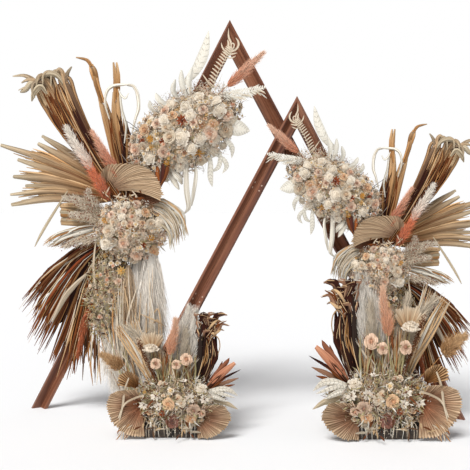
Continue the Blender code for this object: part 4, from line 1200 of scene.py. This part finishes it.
def fern():
    heap = Heap()
    path = [(0.075, 0.10, 1.900), (0.055, 0.10, 1.970), (0.022, 0.09, 2.040), (-0.008, 0.085, 2.090), (-0.028, 0.08, 2.125)]
    stem(heap, path, 0.0022, CREAM, rows=14)
    for k in range(15):
        share = 0.04 + 0.94 * k / 14
        root = curve(path, share)
        left = root + np.array((0.036, -0.004, 0.030)) * (1 - 0.25 * share)
        right = root + np.array((-0.018, -0.004, 0.004)) * (0.3 + share)
        blade(heap, [root, (root + left) / 2 + UP * 0.002, left], 0.0085, CREAM, rows=6, columns=3, taper=0.3, root=0.8)
        blade(heap, [root, (root + right) / 2, right], 0.0070, CREAM * 0.9, rows=5, columns=3, taper=0.3, root=0.8)
    tips = (
        ([(-0.026, 0.08, 2.120), (-0.022, 0.075, 2.160), (-0.008, 0.07, 2.190), (-0.007, 0.065, 2.238)], 0.011),
        ([(-0.005, 0.08, 2.085), (0.012, 0.08, 2.110), (0.028, 0.075, 2.135), (0.034, 0.07, 2.160)], 0.009),
        ([(-0.020, 0.08, 2.105), (-0.050, 0.08, 2.115), (-0.066, 0.075, 2.140), (-0.062, 0.07, 2.165), (-0.048, 0.07, 2.185)],
         0.012),
        ([(-0.020, 0.08, 2.110), (-0.010, 0.08, 2.135), (-0.008, 0.075, 2.155), (-0.002, 0.07, 2.175)], 0.012),
        ([(-0.035, 0.085, 2.120), (-0.044, 0.085, 2.140), (-0.034, 0.085, 2.152), (-0.024, 0.085, 2.140)], 0.008),
        ([(-0.015, 0.085, 2.088), (-0.035, 0.085, 2.092), (-0.060, 0.08, 2.098)], 0.009),
        ([(-0.008, 0.085, 2.070), (-0.030, 0.085, 2.070), (-0.052, 0.08, 2.082)], 0.008),
        ([(0.078, 0.11, 1.900), (0.105, 0.11, 1.940), (0.142, 0.10, 1.990)], 0.008),
    )
    for points, width in tips:
        blade(heap, points, width, CREAM, rows=10, columns=3, taper=0.15, root=0.7)
    spray = [(0.05, 0.19, 1.840), (-0.04, 0.19, 1.848), (-0.13, 0.18, 1.862), (-0.235, 0.17, 1.893)]
    frond(heap, spray, 0.040, 22, BLEACHED, 152, lean=0.8, leaflet=0.008)
    random = np.random.default_rng(154)
    for k in range(40):
        share = random.uniform(0.0, 0.9)
        root = curve(spray, share) + random.normal(0, 0.008, 3)
        end = root + np.array((-0.05, random.normal(0, 0.01), random.normal(-0.01, 0.022))) * random.uniform(0.6, 1.2)
        blade(heap, [root, (root + end) / 2 + UP * 0.004, end], 0.007, (BLEACHED, CREAM)[k % 2], rows=5, columns=3, taper=0.2)
    ghosts = (
        ([(0.25, 0.12, 1.920), (0.175, 0.12, 1.995), (0.125, 0.11, 2.100), (0.100, 0.10, 2.222)], 0.062),
        ([(0.02, 0.17, 1.680), (-0.03, 0.18, 1.680), (-0.09, 0.17, 1.668), (-0.145, 0.15, 1.655)], 0.090),
        ([(0.00, 0.17, 1.640), (-0.025, 0.18, 1.600), (-0.050, 0.17, 1.560), (-0.042, 0.15, 1.505)], 0.030),
        ([(0.03, 0.17, 1.560), (0.015, 0.18, 1.510), (0.030, 0.17, 1.455), (0.070, 0.16, 1.430)], 0.028),
        ([(0.08, 0.17, 1.540), (0.072, 0.18, 1.470), (0.075, 0.17, 1.400), (0.066, 0.16, 1.345)], 0.034),
        ([(0.05, 0.17, 1.530), (0.000, 0.18, 1.500), (-0.018, 0.17, 1.460), (0.010, 0.16, 1.420)], 0.028),
    )
    for k, (points, width) in enumerate(ghosts):
        ghost_leaf(heap, points, width, 155 + k)
    return heap


# The floor arrangements, with outward away from the arch's middle

def trough_flowers():
    bank = Bank((-0.015, 0.0, 0.175), (0.235, 0.165, 0.145), 0.0, 11)
    bank.heroes([
        ("peach", 0.022, 0.198, 64), ("brown_eye", -0.109, 0.165, 66), ("mauve", 0.001, 0.100, 68), ("rust", 0.054, 0.150, 40),
        ("small_brown", 0.117, 0.150, 38), ("star", 0.155, 0.182, 60), ("peach", -0.095, 0.120, 56),
        ("cream", -0.077, 0.070, 66), ("star", -0.210, 0.190, 92), ("white", -0.146, 0.262, 66), ("cream", -0.045, 0.205, 50),
        ("star", 0.090, 0.235, 62), ("small_white", 0.011, 0.262, 44), ("star", 0.075, 0.185, 54), ("star", -0.165, 0.215, 60),
        ("star", -0.090, 0.225, 60), ("small_white", 0.110, 0.100, 44), ("blush", -0.150, 0.145, 44),
    ])
    bank.scatter({"spray": 5, "small_white": 4, "star": 2, "small_pink": 1, "straw": 1.5}, 170, 0.022, 0.040, overlap=0.7)
    bank.body(0.5)
    bank.bits(1300, 0.012, 0.040, 0.0045, OLIVE_BITS)
    bank.bits(1300, 0.012, 0.040, 0.0045)
    bank.buds(240, 0.0044, CREAM)
    bank.buds(170, 0.0046, SEED_DARK, (0.94, 1.08))
    bank.buds(60, 0.0050, MUSTARD, (0.94, 1.06))
    bank.breath(16, 0.060, WHITE)
    bank.leaves(140, 0.04, 0.08, 0.009, OLIVE, 0.6)
    bank.leaves(70, 0.05, 0.10, 0.007, BLEACHED)
    bank.leaves(120, 0.03, 0.07, 0.010, BROWN, 0.5)
    random = bank.random
    for _ in range(16):
        angle = random.uniform(-0.8, 0.8)
        start = np.array((0.14 * math.sin(angle), 0.10, 0.10))
        aim = np.array((math.sin(angle) * 0.7, random.uniform(0.3, 0.5), random.uniform(-0.3, 0.1)))
        length = random.uniform(0.08, 0.13)
        path = [start, start + unit(aim) * length * 0.5, start + unit(aim - UP * 0.8) * length]
        blade(bank.heap, path, 0.0026, (BLEACHED, CREAM)[random.integers(2)], rows=8, columns=3, taper=0.15)
    for _ in range(16):
        start = np.array((random.uniform(-0.16, 0.20), random.uniform(0.12, 0.17), random.uniform(0.03, 0.075)))
        aim = unit(np.array((random.normal(0, 0.8), 0.15, random.normal(0, 0.25))))
        length = random.uniform(0.03, 0.06)
        tint = (TAN_PALE, BROWN, TAN_PALE, TWIG, CREAM)[random.integers(5)] * random.uniform(0.5, 0.9)
        path = [start, start + aim * length * 0.5 + UP * 0.003, start + aim * length]
        blade(bank.heap, path, random.uniform(0.008, 0.015), tint, rows=4, columns=3, taper=0.1)
    return bank.heap


def shell_fan_outer():
    heap = Heap()
    shell_fan(heap, (0.165, 0.09, 0.180),
              ((0.19, 0.12, 0.272), (0.240, 0.12, 0.272), (0.287, 0.12, 0.266), (0.332, 0.12, 0.246), (0.354, 0.12, 0.189),
               (0.338, 0.12, 0.130), (0.301, 0.12, 0.076), (0.273, 0.12, 0.043), (0.215, 0.12, 0.020), (0.150, 0.11, 0.014)),
              40, (RUST * 0.9, SHELL_BROWN, SHELL, SHELL_DARK), depth=0.004, cup=0.025, ragged=0.008, seed=5)
    shell_fan(heap, (0.165, 0.075, 0.170), ((0.20, 0.09, 0.255), (0.28, 0.09, 0.250), (0.335, 0.09, 0.20), (0.335, 0.09, 0.12),
                                            (0.300, 0.09, 0.06), (0.23, 0.09, 0.020)),
              26, (SHELL_DARK, SHELL_BROWN, TAN_PALE, SHELL_DARK * 0.7), depth=0.006, ragged=0.02, seed=6)
    shell_fan(heap, (0.19, 0.07, 0.262), ((0.182, 0.08, 0.330), (0.207, 0.08, 0.352), (0.245, 0.08, 0.362), (0.288, 0.08, 0.340),
                                          (0.296, 0.08, 0.285)),
              14, (BROWN, TAN, TAN_PALE, TAN_DARK), depth=0.009, ragged=0.03, seed=7, crease_shade=0.8)
    random = np.random.default_rng(176)
    for path in ([(0.150, 0.16, 0.245), (0.205, 0.15, 0.225), (0.258, 0.14, 0.190), (0.290, 0.14, 0.115)],
                 [(0.235, 0.12, 0.330), (0.255, 0.13, 0.270), (0.265, 0.14, 0.190), (0.285, 0.14, 0.100)]):
        blade(heap, path, 0.012, CREAM * 0.9, fold=0.5, rows=12, columns=3, taper=0.4, root=0.6, stripes=0.1, random=random)
    for _ in range(16):
        start = np.array((random.uniform(0.20, 0.28), 0.14, random.uniform(0.03, 0.10)))
        end = start + np.array((random.uniform(0.0, 0.04), 0.0, -random.uniform(0.02, 0.05)))
        blade(heap, [start, (start + end) / 2, end], 0.006, (CREAM, TAN, BROWN)[random.integers(3)], rows=5, columns=3)
    return heap


def shell_fan_inner():
    heap = Heap()
    shell_fan(heap, (-0.125, 0.09, 0.115),
              ((-0.135, 0.11, 0.180), (-0.192, 0.12, 0.190), (-0.266, 0.12, 0.187), (-0.303, 0.12, 0.148), (-0.309, 0.12, 0.112),
               (-0.277, 0.12, 0.060), (-0.223, 0.12, 0.022), (-0.180, 0.12, 0.010), (-0.130, 0.11, 0.010)),
              34, (SHELL_DARK * 0.6, SHELL_BROWN * 0.9, SHELL * 0.85, SHELL_DARK * 0.7), depth=0.004, cup=0.03, ragged=0.014,
              seed=8)
    return heap


def white_pampas():
    heap = Heap()
    rows = (
        ((0.02, -0.02, 0.24), (-0.01, -0.02, 0.40), (-0.040, -0.02, 0.54), (-0.078, -0.03, 0.675), 0.050, 2300, PLUME_WHITE),
        ((-0.05, 0.00, 0.24), (-0.08, 0.00, 0.38), (-0.100, -0.01, 0.52), (-0.116, -0.02, 0.665), 0.044, 1900, PLUME_WHITE),
        ((-0.02, 0.02, 0.30), (-0.04, 0.03, 0.38), (-0.055, 0.03, 0.46), (-0.065, 0.02, 0.560), 0.022, 800, CREAM * 0.85),
        ((0.04, -0.01, 0.22), (0.09, -0.01, 0.34), (0.15, -0.02, 0.46), (0.25, -0.03, 0.58), 0.040, 1800, CREAM),
        ((0.03, -0.03, 0.22), (0.06, -0.03, 0.34), (0.10, -0.04, 0.46), (0.13, -0.05, 0.58), 0.034, 1000, CREAM),
    )
    for k, (*path, radius, count, tint) in enumerate(rows):
        plume(heap, path, radius, count, tint * 0.88, tint, 160 + k, length=0.085, spread=0.42, width=0.0030, blunt=0.5,
              sag=0.1)
    plume(heap, [(0.020, 0.05, 0.44), (0.012, 0.055, 0.50), (-0.004, 0.055, 0.57), (-0.010, 0.05, 0.635)], 0.028, 1700,
          rgb(214, 150, 112), rgb(228, 190, 160), 166, length=0.040, spread=0.9, sag=0.05, width=0.0018, core=0.35, blunt=0.45,
          depth=0.35)
    stem(heap, [(0.01, 0.03, 0.22), (0.02, 0.05, 0.34), (0.02, 0.05, 0.45)], 0.003, PINK_PALE)
    random = np.random.default_rng(167)
    for _ in range(190):
        angle = random.normal(0.05, 0.24)
        start = np.array((random.uniform(-0.10, 0.08), random.uniform(0.0, 0.06), 0.24))
        size = random.uniform(0.10, 0.24)
        end = start + np.array((math.sin(angle) * size, 0.0, math.cos(angle) * size))
        middle = (start + end) / 2 + random.normal(0, 0.008, 3)
        tint = (CREAM, TAN_PALE, TAN_PALE, OLIVE, BROWN, TAN)[random.integers(6)] * random.uniform(0.7, 1.0)
        blade(heap, [start, middle, end], random.uniform(0.004, 0.010), tint, rows=6, columns=3, taper=0.15)
    return heap


def stalk_flower(heap, look, path, size, seed):
    """A flower on its own stalk, with a few sepals under it."""
    kind, inner, outer = LOOKS[look]
    random = np.random.default_rng(seed)
    stem(heap, path, 0.0026, OLIVE * 0.8)
    end = np.array(path[-1], float)
    facing = unit(heading(path, 1.0) * 0.4 + FRONT)
    plant(heap, KINDS[kind][seed % len(KINDS[kind])], [stand(end, facing, seed, size / 2000)], inner, outer)
    for _ in range(5):
        aim = unit(random.normal(0, 1, 3) - facing * 0.4)
        sepal = [end - facing * 0.012, end + aim * size / 2600, end + aim * size / 1700]
        blade(heap, sepal, 0.008, OLIVE * 0.8, rows=5, columns=3)


def outer_fan():
    heap = Heap()
    random = np.random.default_rng(171)
    for k in range(13):
        angle = 0.10 + (k - 6) * 0.13
        hub = np.array((0.125, -0.01, 0.44))
        aim = np.array((math.sin(angle), 0.1, math.cos(angle)))
        path = [hub, hub + aim * 0.06, hub + aim * random.uniform(0.10, 0.125)]
        blade(heap, path, 0.020, (TAN, TAN_PALE * 0.8, TAN_PALE)[k % 3], fold=0.5, rows=8, root=0.2, taper=0.5, tip_tint=CREAM * 0.9)
    stem(heap, [(0.06, 0.0, 0.22), (0.09, -0.01, 0.34), (0.125, -0.01, 0.45)], 0.004, TAN)
    stem(heap, [(0.08, 0.03, 0.24), (0.11, 0.05, 0.38), (0.124, 0.05, 0.466)], 0.003, OLIVE * 0.8)
    disc = [stand((0.124, 0.06, 0.470), np.array((0.0, 0.30, 1.0)), 0.4, 0.046)]
    plant(heap, RUFFLES[0], disc, CREAM, WHITE)
    stalk_flower(heap, "brown_eye", [(0.04, 0.05, 0.22), (0.07, 0.08, 0.33), (0.092, 0.09, 0.398)], 60, 1)
    stalk_flower(heap, "brown_eye", [(-0.01, 0.06, 0.22), (-0.015, 0.09, 0.33), (-0.018, 0.10, 0.396)], 52, 1)
    stalk_flower(heap, "blush", [(-0.03, 0.06, 0.22), (-0.05, 0.08, 0.34), (-0.070, 0.09, 0.422)], 62, 3)
    low = [(0.10, -0.01, 0.20), (0.16, -0.02, 0.32), (0.24, -0.03, 0.44), (0.33, -0.05, 0.57)]
    high = [(0.08, -0.01, 0.22), (0.12, -0.02, 0.36), (0.17, -0.04, 0.50), (0.22, -0.05, 0.64)]
    for _ in range(44):
        path = between(low, high, random.random(), random.normal(0, 0.008), 0.008, random)
        tint = (CREAM, TAN_PALE, BLEACHED, TAN_PALE, TAN)[random.integers(5)]
        blade(heap, path, random.uniform(0.004, 0.012), tint, rows=10, columns=3, taper=0.15)
    path = [(0.075, 0.05, 0.27), (0.115, 0.06, 0.35), (0.155, 0.05, 0.43), (0.195, 0.03, 0.51)]
    seeds_count = 420
    share = random.random(seeds_count)
    seeds = curve(path, share) + random.normal(0, 0.007, (seeds_count, 3))
    plant(heap, BEAD, [stand(p, FRONT + UP, 0.0, 0.0034) for p in seeds], SEED_DARK, BROWN)
    plume(heap, [(0.285, 0.03, 0.365), (0.330, 0.04, 0.405), (0.390, 0.04, 0.440)], 0.046, 2200, TAN, TAN_PALE * 1.1, 172,
          length=0.04, spread=0.9, width=0.0022, sag=0.05, whiten=0.25, blunt=0.35, depth=0.3)
    stem(heap, [(0.15, 0.0, 0.24), (0.22, 0.02, 0.30), (0.29, 0.035, 0.37)], 0.003, TAN)
    return heap


def dark_leaves():
    heap = Heap()
    random = np.random.default_rng(181)
    left = [(-0.11, 0.0, 0.20), (-0.19, 0.0, 0.33), (-0.235, -0.01, 0.42), (-0.225, -0.01, 0.52)]
    right = [(-0.09, 0.0, 0.20), (-0.11, 0.0, 0.34), (-0.125, -0.01, 0.45), (-0.135, -0.01, 0.60)]
    for _ in range(40):
        path = between(left, right, random.random(), random.normal(0, 0.012), 0.008, random)
        tint = (BROWN_DARK * 0.7, BROWN_DARK * 0.4, BROWN_DARK, SEED_DARK)[random.integers(4)]
        blade(heap, path, random.uniform(0.016, 0.034), tint, fold=0.5, rows=12, taper=0.25, root=0.6)
    for _ in range(16):
        path = between(left, right, random.random(), 0.016, 0.008, random)
        blade(heap, path, random.uniform(0.002, 0.005), (BROWN * 1.3, TAN_PALE, TAN)[random.integers(3)], rows=10, columns=3)
    for _ in range(30):
        start = np.array((random.uniform(-0.215, -0.125), random.uniform(0.0, 0.02), random.uniform(0.50, 0.61)))
        lean = random.uniform(-0.8, 0.5)
        size = random.uniform(0.05, 0.09)
        aim = np.array((lean, random.normal(0, 0.25), 1.0))
        hook = np.array((-abs(random.normal(0.9, 0.5)), random.normal(0, 0.3), random.uniform(-0.8, 0.4)))
        path = [start, start + unit(aim) * size * 0.6, start + unit(aim) * size, start + unit(aim) * size + unit(hook) * size * 0.5]
        path = [np.minimum(p, (9.0, 9.0, 0.655)) for p in path]
        tint = (BROWN, BROWN_DARK, SHELL_BROWN, SHELL_BROWN * 0.7)[random.integers(4)]
        blade(heap, path, random.uniform(0.016, 0.028), tint, fold=0.7, rows=10, columns=3, taper=0.15,
              twist=random.normal(0.2, 0.6), root=0.5)
        moved = [p + np.array((-0.003, 0.006, 0.004)) for p in path]
        blade(heap, moved, 0.004, (TAN_PALE, BLEACHED)[random.integers(2)], fold=0.3, rows=10, columns=3, taper=0.3)
    hoop = [(-0.185, 0.01, 0.480), (-0.200, 0.02, 0.525), (-0.220, 0.02, 0.540), (-0.242, 0.02, 0.520), (-0.248, 0.01, 0.475),
            (-0.236, 0.0, 0.430)]
    blade(heap, hoop, 0.006, TAN_PALE * 0.7, fold=0.3, rows=16, columns=3, taper=0.7)
    for end in ((-0.240, 0.01, 0.625), (-0.258, 0.01, 0.572)):
        blade(heap, [(-0.18, 0.01, 0.56), ((end[0] - 0.18) / 2, 0.03, end[2] - 0.02), end], 0.014, TAN_PALE, rows=8, columns=3)
    return heap


def pointed_leaves():
    heap = Heap()
    random = np.random.default_rng(191)
    pink = rgb(168, 106, 78)
    blade(heap, [(-0.15, 0.05, 0.235), (-0.215, 0.07, 0.300), (-0.27, 0.07, 0.350), (-0.330, 0.07, 0.400)], 0.040, pink,
          fold=0.5, taper=0.45, tip_tint=rgb(204, 150, 120), stripes=0.22, random=random)
    for path, width, tint in (
        ([(-0.15, 0.05, 0.24), (-0.22, 0.06, 0.33), (-0.28, 0.06, 0.395), (-0.300, 0.06, 0.425)], 0.026, pink * 0.6),
        ([(-0.16, 0.05, 0.24), (-0.26, 0.06, 0.310), (-0.362, 0.06, 0.362)], 0.014, BROWN_DARK),
        ([(-0.16, 0.06, 0.23), (-0.26, 0.07, 0.285), (-0.350, 0.07, 0.318)], 0.022, SHELL_BROWN * 0.8),
        ([(-0.17, 0.05, 0.25), (-0.24, 0.05, 0.350), (-0.262, 0.05, 0.405)], 0.022, BROWN),
        ([(-0.16, 0.06, 0.22), (-0.26, 0.07, 0.265), (-0.330, 0.08, 0.285)], 0.016, BROWN),
        ([(-0.17, 0.08, 0.20), (-0.27, 0.09, 0.19), (-0.345, 0.08, 0.150)], 0.026, GREIGE),
    ):
        blade(heap, path, width, tint, fold=0.45, rows=14, taper=0.08, twist=random.normal(0, 0.3), stripes=0.15,
              random=random)
    for path, width in (([(-0.16, 0.09, 0.24), (-0.23, 0.10, 0.262), (-0.293, 0.10, 0.262), (-0.345, 0.09, 0.225)], 0.030),
                        ([(-0.16, 0.09, 0.22), (-0.22, 0.11, 0.225), (-0.290, 0.10, 0.195)], 0.024),
                        ([(-0.16, 0.09, 0.23), (-0.23, 0.10, 0.245), (-0.330, 0.09, 0.215)], 0.022)):
        ghost_leaf(heap, path, width, 195)
    for _ in range(24):
        angle = random.uniform(0.35, 1.35)
        start = np.array((-0.14, 0.06, 0.22))
        aim = np.array((-math.sin(angle), 0.15, math.cos(angle)))
        size = random.uniform(0.10, 0.20)
        path = [start, start + aim * size * 0.5 + random.normal(0, 0.006, 3), start + aim * size]
        tint = (BROWN_DARK, BLEACHED, TWIG, BROWN)[random.integers(4)]
        blade(heap, path, random.uniform(0.004, 0.010), tint, rows=8, columns=3, taper=0.1)
    return heap


# Timber

def leg_way(frame_turn, side):
    """Down a leg, as a direction."""
    right = Vector((math.cos(frame_turn), -math.sin(frame_turn), 0.0))
    return right * side * math.sin(SLOPE) - Vector((0, 0, math.cos(SLOPE)))


def finish_timber():
    for name, turn in (("big", BIG_TURN), ("small", SMALL_TURN)):
        for side, side_name in ((-1, "left"), (1, "right")):
            for place in ("outer", "inner"):
                node = f"{name}_{side_name}_{place}_board"
                finish = wood_material(f"stain_{node}", leg_way(turn, side))
                set_material(node, finish)
    set_material("crossing_block", wood_material("stain_block", leg_way(BIG_TURN, 1)))


def set_material(node, finish):
    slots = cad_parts[node].material_slots
    for slot in slots:
        slot.material = finish


def screw_heads(name, side, finish):
    """The screws that show on the front of a small-frame leg, two on each board at each joint."""
    heap = Heap()
    turn = SMALL_TURN
    right = np.array((math.cos(turn), -math.sin(turn), 0.0))
    back = np.array((math.sin(turn), math.cos(turn), 0.0))
    down = np.array(leg_way(turn, side))
    outward = right * side * math.cos(SLOPE) + UP * math.sin(SLOPE)
    half = LEG_ACROSS["small"] / 2
    apex = np.array(SMALL_APEX)
    for along in SPLICE_PLACES:
        for flange in (-1, 1):
            across = half * 0.50
            facing = unit(-back - outward * flange)
            surface = apex + outward * (across * flange - half) + back * (half - across - BOARD_THICK * math.sqrt(2))
            for step in (-0.016, 0.016):
                middle = surface + down * (along + step) + facing * 0.0002
                x = unit(np.cross(facing, down))
                y = np.cross(facing, x)
                angle = np.linspace(0, 2 * math.pi, 16, endpoint=False)
                rings = []
                for radius, height in ((0.0046, 0.0), (0.0044, 0.0012), (0.0030, 0.0017), (0.0016, 0.0016), (0.0014, 0.0004), (0.0001, 0.0003)):
                    ring = x * np.cos(angle)[:, None] * radius + y * np.sin(angle)[:, None] * radius
                    rings.append(middle + ring + facing * height)
                # Painted shade: the rings down in the recess of each head are darkened.
                shade = np.array((1.0, 1.0, 1.0, 0.7, 0.25, 0.2))[:, None, None]
                heap.grids(np.array(rings), rgb(206, 178, 160) * shade, ring=True)
    return heap.build(name, Matrix.Identity(4), finish, "zinc_plate")


# Putting it together

def arranged(apex, turn, share, side):
    """From outward, forward and up on the big frame's scale to the world."""
    right = Vector((math.cos(turn), -math.sin(turn), 0.0))
    back = Vector((math.sin(turn), math.cos(turn), 0.0))
    place = Matrix.Identity(4)
    for column, axis in enumerate((right * side, -back, Vector((0, 0, 1)))):
        place.col[column].xyz = axis * share
    place.translation = (apex.x, apex.y, 0.0)
    return place


def trough_place(name, side):
    """The place of a floor arrangement, and of what stands up from it."""
    x, y, size, tall = TROUGHS[name]
    place = Matrix.Translation(Vector((x, y, 0)) - ORIGIN) @ Matrix.Diagonal((side * size, -size, size, 1))
    high = Matrix.Translation((0, 0, 0.2)) @ Matrix.Diagonal((1, 1, tall, 1)) @ Matrix.Translation((0, 0, -0.2))
    return place, place @ high


def main():
    petals = plant_material("dried_petals", 0.80, 0.25, (1, 1, 1), 160.0, (0.86, 0.82, 0.78), (1.0, 1.0, 1.0))
    palm = plant_material("dried_palm", 0.62, 0.05, (300, 6, 40), 1.0, (0.52, 0.44, 0.36), (1.08, 1.07, 1.06))
    feather = plant_material("pampas", 0.90, 0.40, (1, 1, 1), 60.0, (0.88, 0.86, 0.84), (1.0, 1.0, 1.0))
    hanging = (
        ("flowers_upper", flowers_upper, petals, "cream_petals"), ("flowers_middle", flowers_middle, petals, "cream_petals"),
        ("flowers_lower", flowers_lower, petals, "cream_petals"), ("cream_pampas", cream_pampas, feather, "cream_pampas"),
        ("pleated_fan", pleated_fan, palm, "shell_palm"), ("palm_fan_side", palm_fan_side, palm, "tan_palm"),
        ("palm_fan_curled", palm_fan_curled, palm, "tan_palm"), ("palm_fan_upper", palm_fan_upper, palm, "tan_palm"),
        ("bleached_palm", bleached_palm, palm, "bleached_leaves"), ("grass_fan", grass_fan, palm, "tan_palm"),
        ("brown_palm", brown_palm, palm, "brown_palm"), ("pink_pampas", pink_pampas, feather, "pink_pampas"),
        ("apex_plume", apex_plume, feather, "pink_pampas"), ("fern", fern, petals, "bleached_leaves"),
    )
    hanging_places = {"left": arranged(BIG_APEX, BIG_TURN, 1.0, -1),
                      "right": arranged(SMALL_APEX, SMALL_TURN, SMALL_SHARE, 1)}
    for part, make, finish, slot in hanging:
        heap = make()
        for side_name, place in hanging_places.items():
            heap.build(f"{side_name}_{part}_looks", place, finish, slot, f"{side_name}_{part}")
    standing = (
        ("trough_flowers", trough_flowers, petals, "cream_petals", 0), ("shell_fan_outer", shell_fan_outer, palm, "shell_palm", 0),
        ("shell_fan_inner", shell_fan_inner, palm, "shell_palm", 0), ("white_pampas", white_pampas, feather, "cream_pampas", 1),
        ("outer_fan", outer_fan, palm, "tan_palm", 1), ("dark_leaves", dark_leaves, palm, "dark_leaves", 1),
        ("pointed_leaves", pointed_leaves, palm, "brown_palm", 1),
    )
    for part, make, finish, slot, tall in standing:
        heap = make()
        for side_name, side in (("left", -1), ("right", 1)):
            place = trough_place(side_name, side)[tall]
            heap.build(f"{side_name}_{part}_looks", place, finish, slot, f"{side_name}_{part}")
    finish_timber()
    zinc = metal_material("zinc", rgb(196, 194, 188), 0.4, 60.0)
    screw = plant_material("screw_steel", 0.35, 0.0, (1, 1, 1), 300.0, (0.8, 0.8, 0.8), (1.0, 1.0, 1.0))
    trough = mottled_material("trough_felt", (rgb(34, 30, 28), rgb(74, 62, 52)), 0.8, 46.0)
    for side, side_name in ((-1, "left"), (1, "right")):
        for place in ("upper", "lower"):
            set_material(f"small_{side_name}_{place}_splice", zinc)
        set_material(f"{side_name}_trough", trough)
        screw_heads(f"small_{side_name}_screws", side, screw)
    add_floor()
    add_light()
    add_camera()


def add_floor():
    """A large pale floor."""
    mesh = bpy.data.meshes.new("floor")
    size = 60.0
    mesh.from_pydata([(-size, -size, 0), (size, -size, 0), (size, size, 0), (-size, size, 0)], [], [(0, 1, 2, 3)])
    floor = bpy.data.objects.new("floor", mesh)
    bpy.context.scene.collection.objects.link(floor)
    finish, nodes, links, shader = new_material("floor_paper", 0.9)
    shader.inputs["Base Color"].default_value = (0.88, 0.88, 0.88, 1.0)
    shader.inputs["Specular IOR Level"].default_value = 0.0
    mesh.materials.append(finish)


def add_light():
    """A sky that is white at eye level and dimmer above, and a soft sun from the front and above."""
    world = bpy.data.worlds.new("studio")
    world.use_nodes = True
    nodes = world.node_tree.nodes
    links = world.node_tree.links
    place = nodes.new("ShaderNodeTexCoord")
    height = nodes.new("ShaderNodeSeparateXYZ")
    links.new(place.outputs["Generated"], height.inputs["Vector"])
    dim = (0.20, 0.20, 0.21)
    sky = ramp(nodes, links, height.outputs["Z"], ((0.26, (1.0, 1.0, 1.0)), (0.60, dim)))
    links.new(sky, nodes["Background"].inputs["Color"])
    bpy.context.scene.world = world
    lamp = bpy.data.lights.new("sun", "SUN")
    lamp.energy = SUN_STRENGTH
    lamp.angle = SUN_SOFTNESS
    sun = bpy.data.objects.new("sun", lamp)
    sun.rotation_euler = Vector(SUN_WAY).to_track_quat("-Z", "Y").to_euler()
    bpy.context.scene.collection.objects.link(sun)


def add_camera():
    lens = bpy.data.cameras.new("camera")
    lens.lens = CAMERA_LENS
    lens.sensor_width = 36.0
    camera = bpy.data.objects.new("camera", lens)
    camera.location = CAMERA_PLACE
    camera.rotation_euler = (math.pi / 2 - CAMERA_DIP, 0.0, 0.0)
    bpy.context.scene.collection.objects.link(camera)
    bpy.context.scene.camera = camera
    bpy.context.scene.view_settings.view_transform = "Standard"


main()
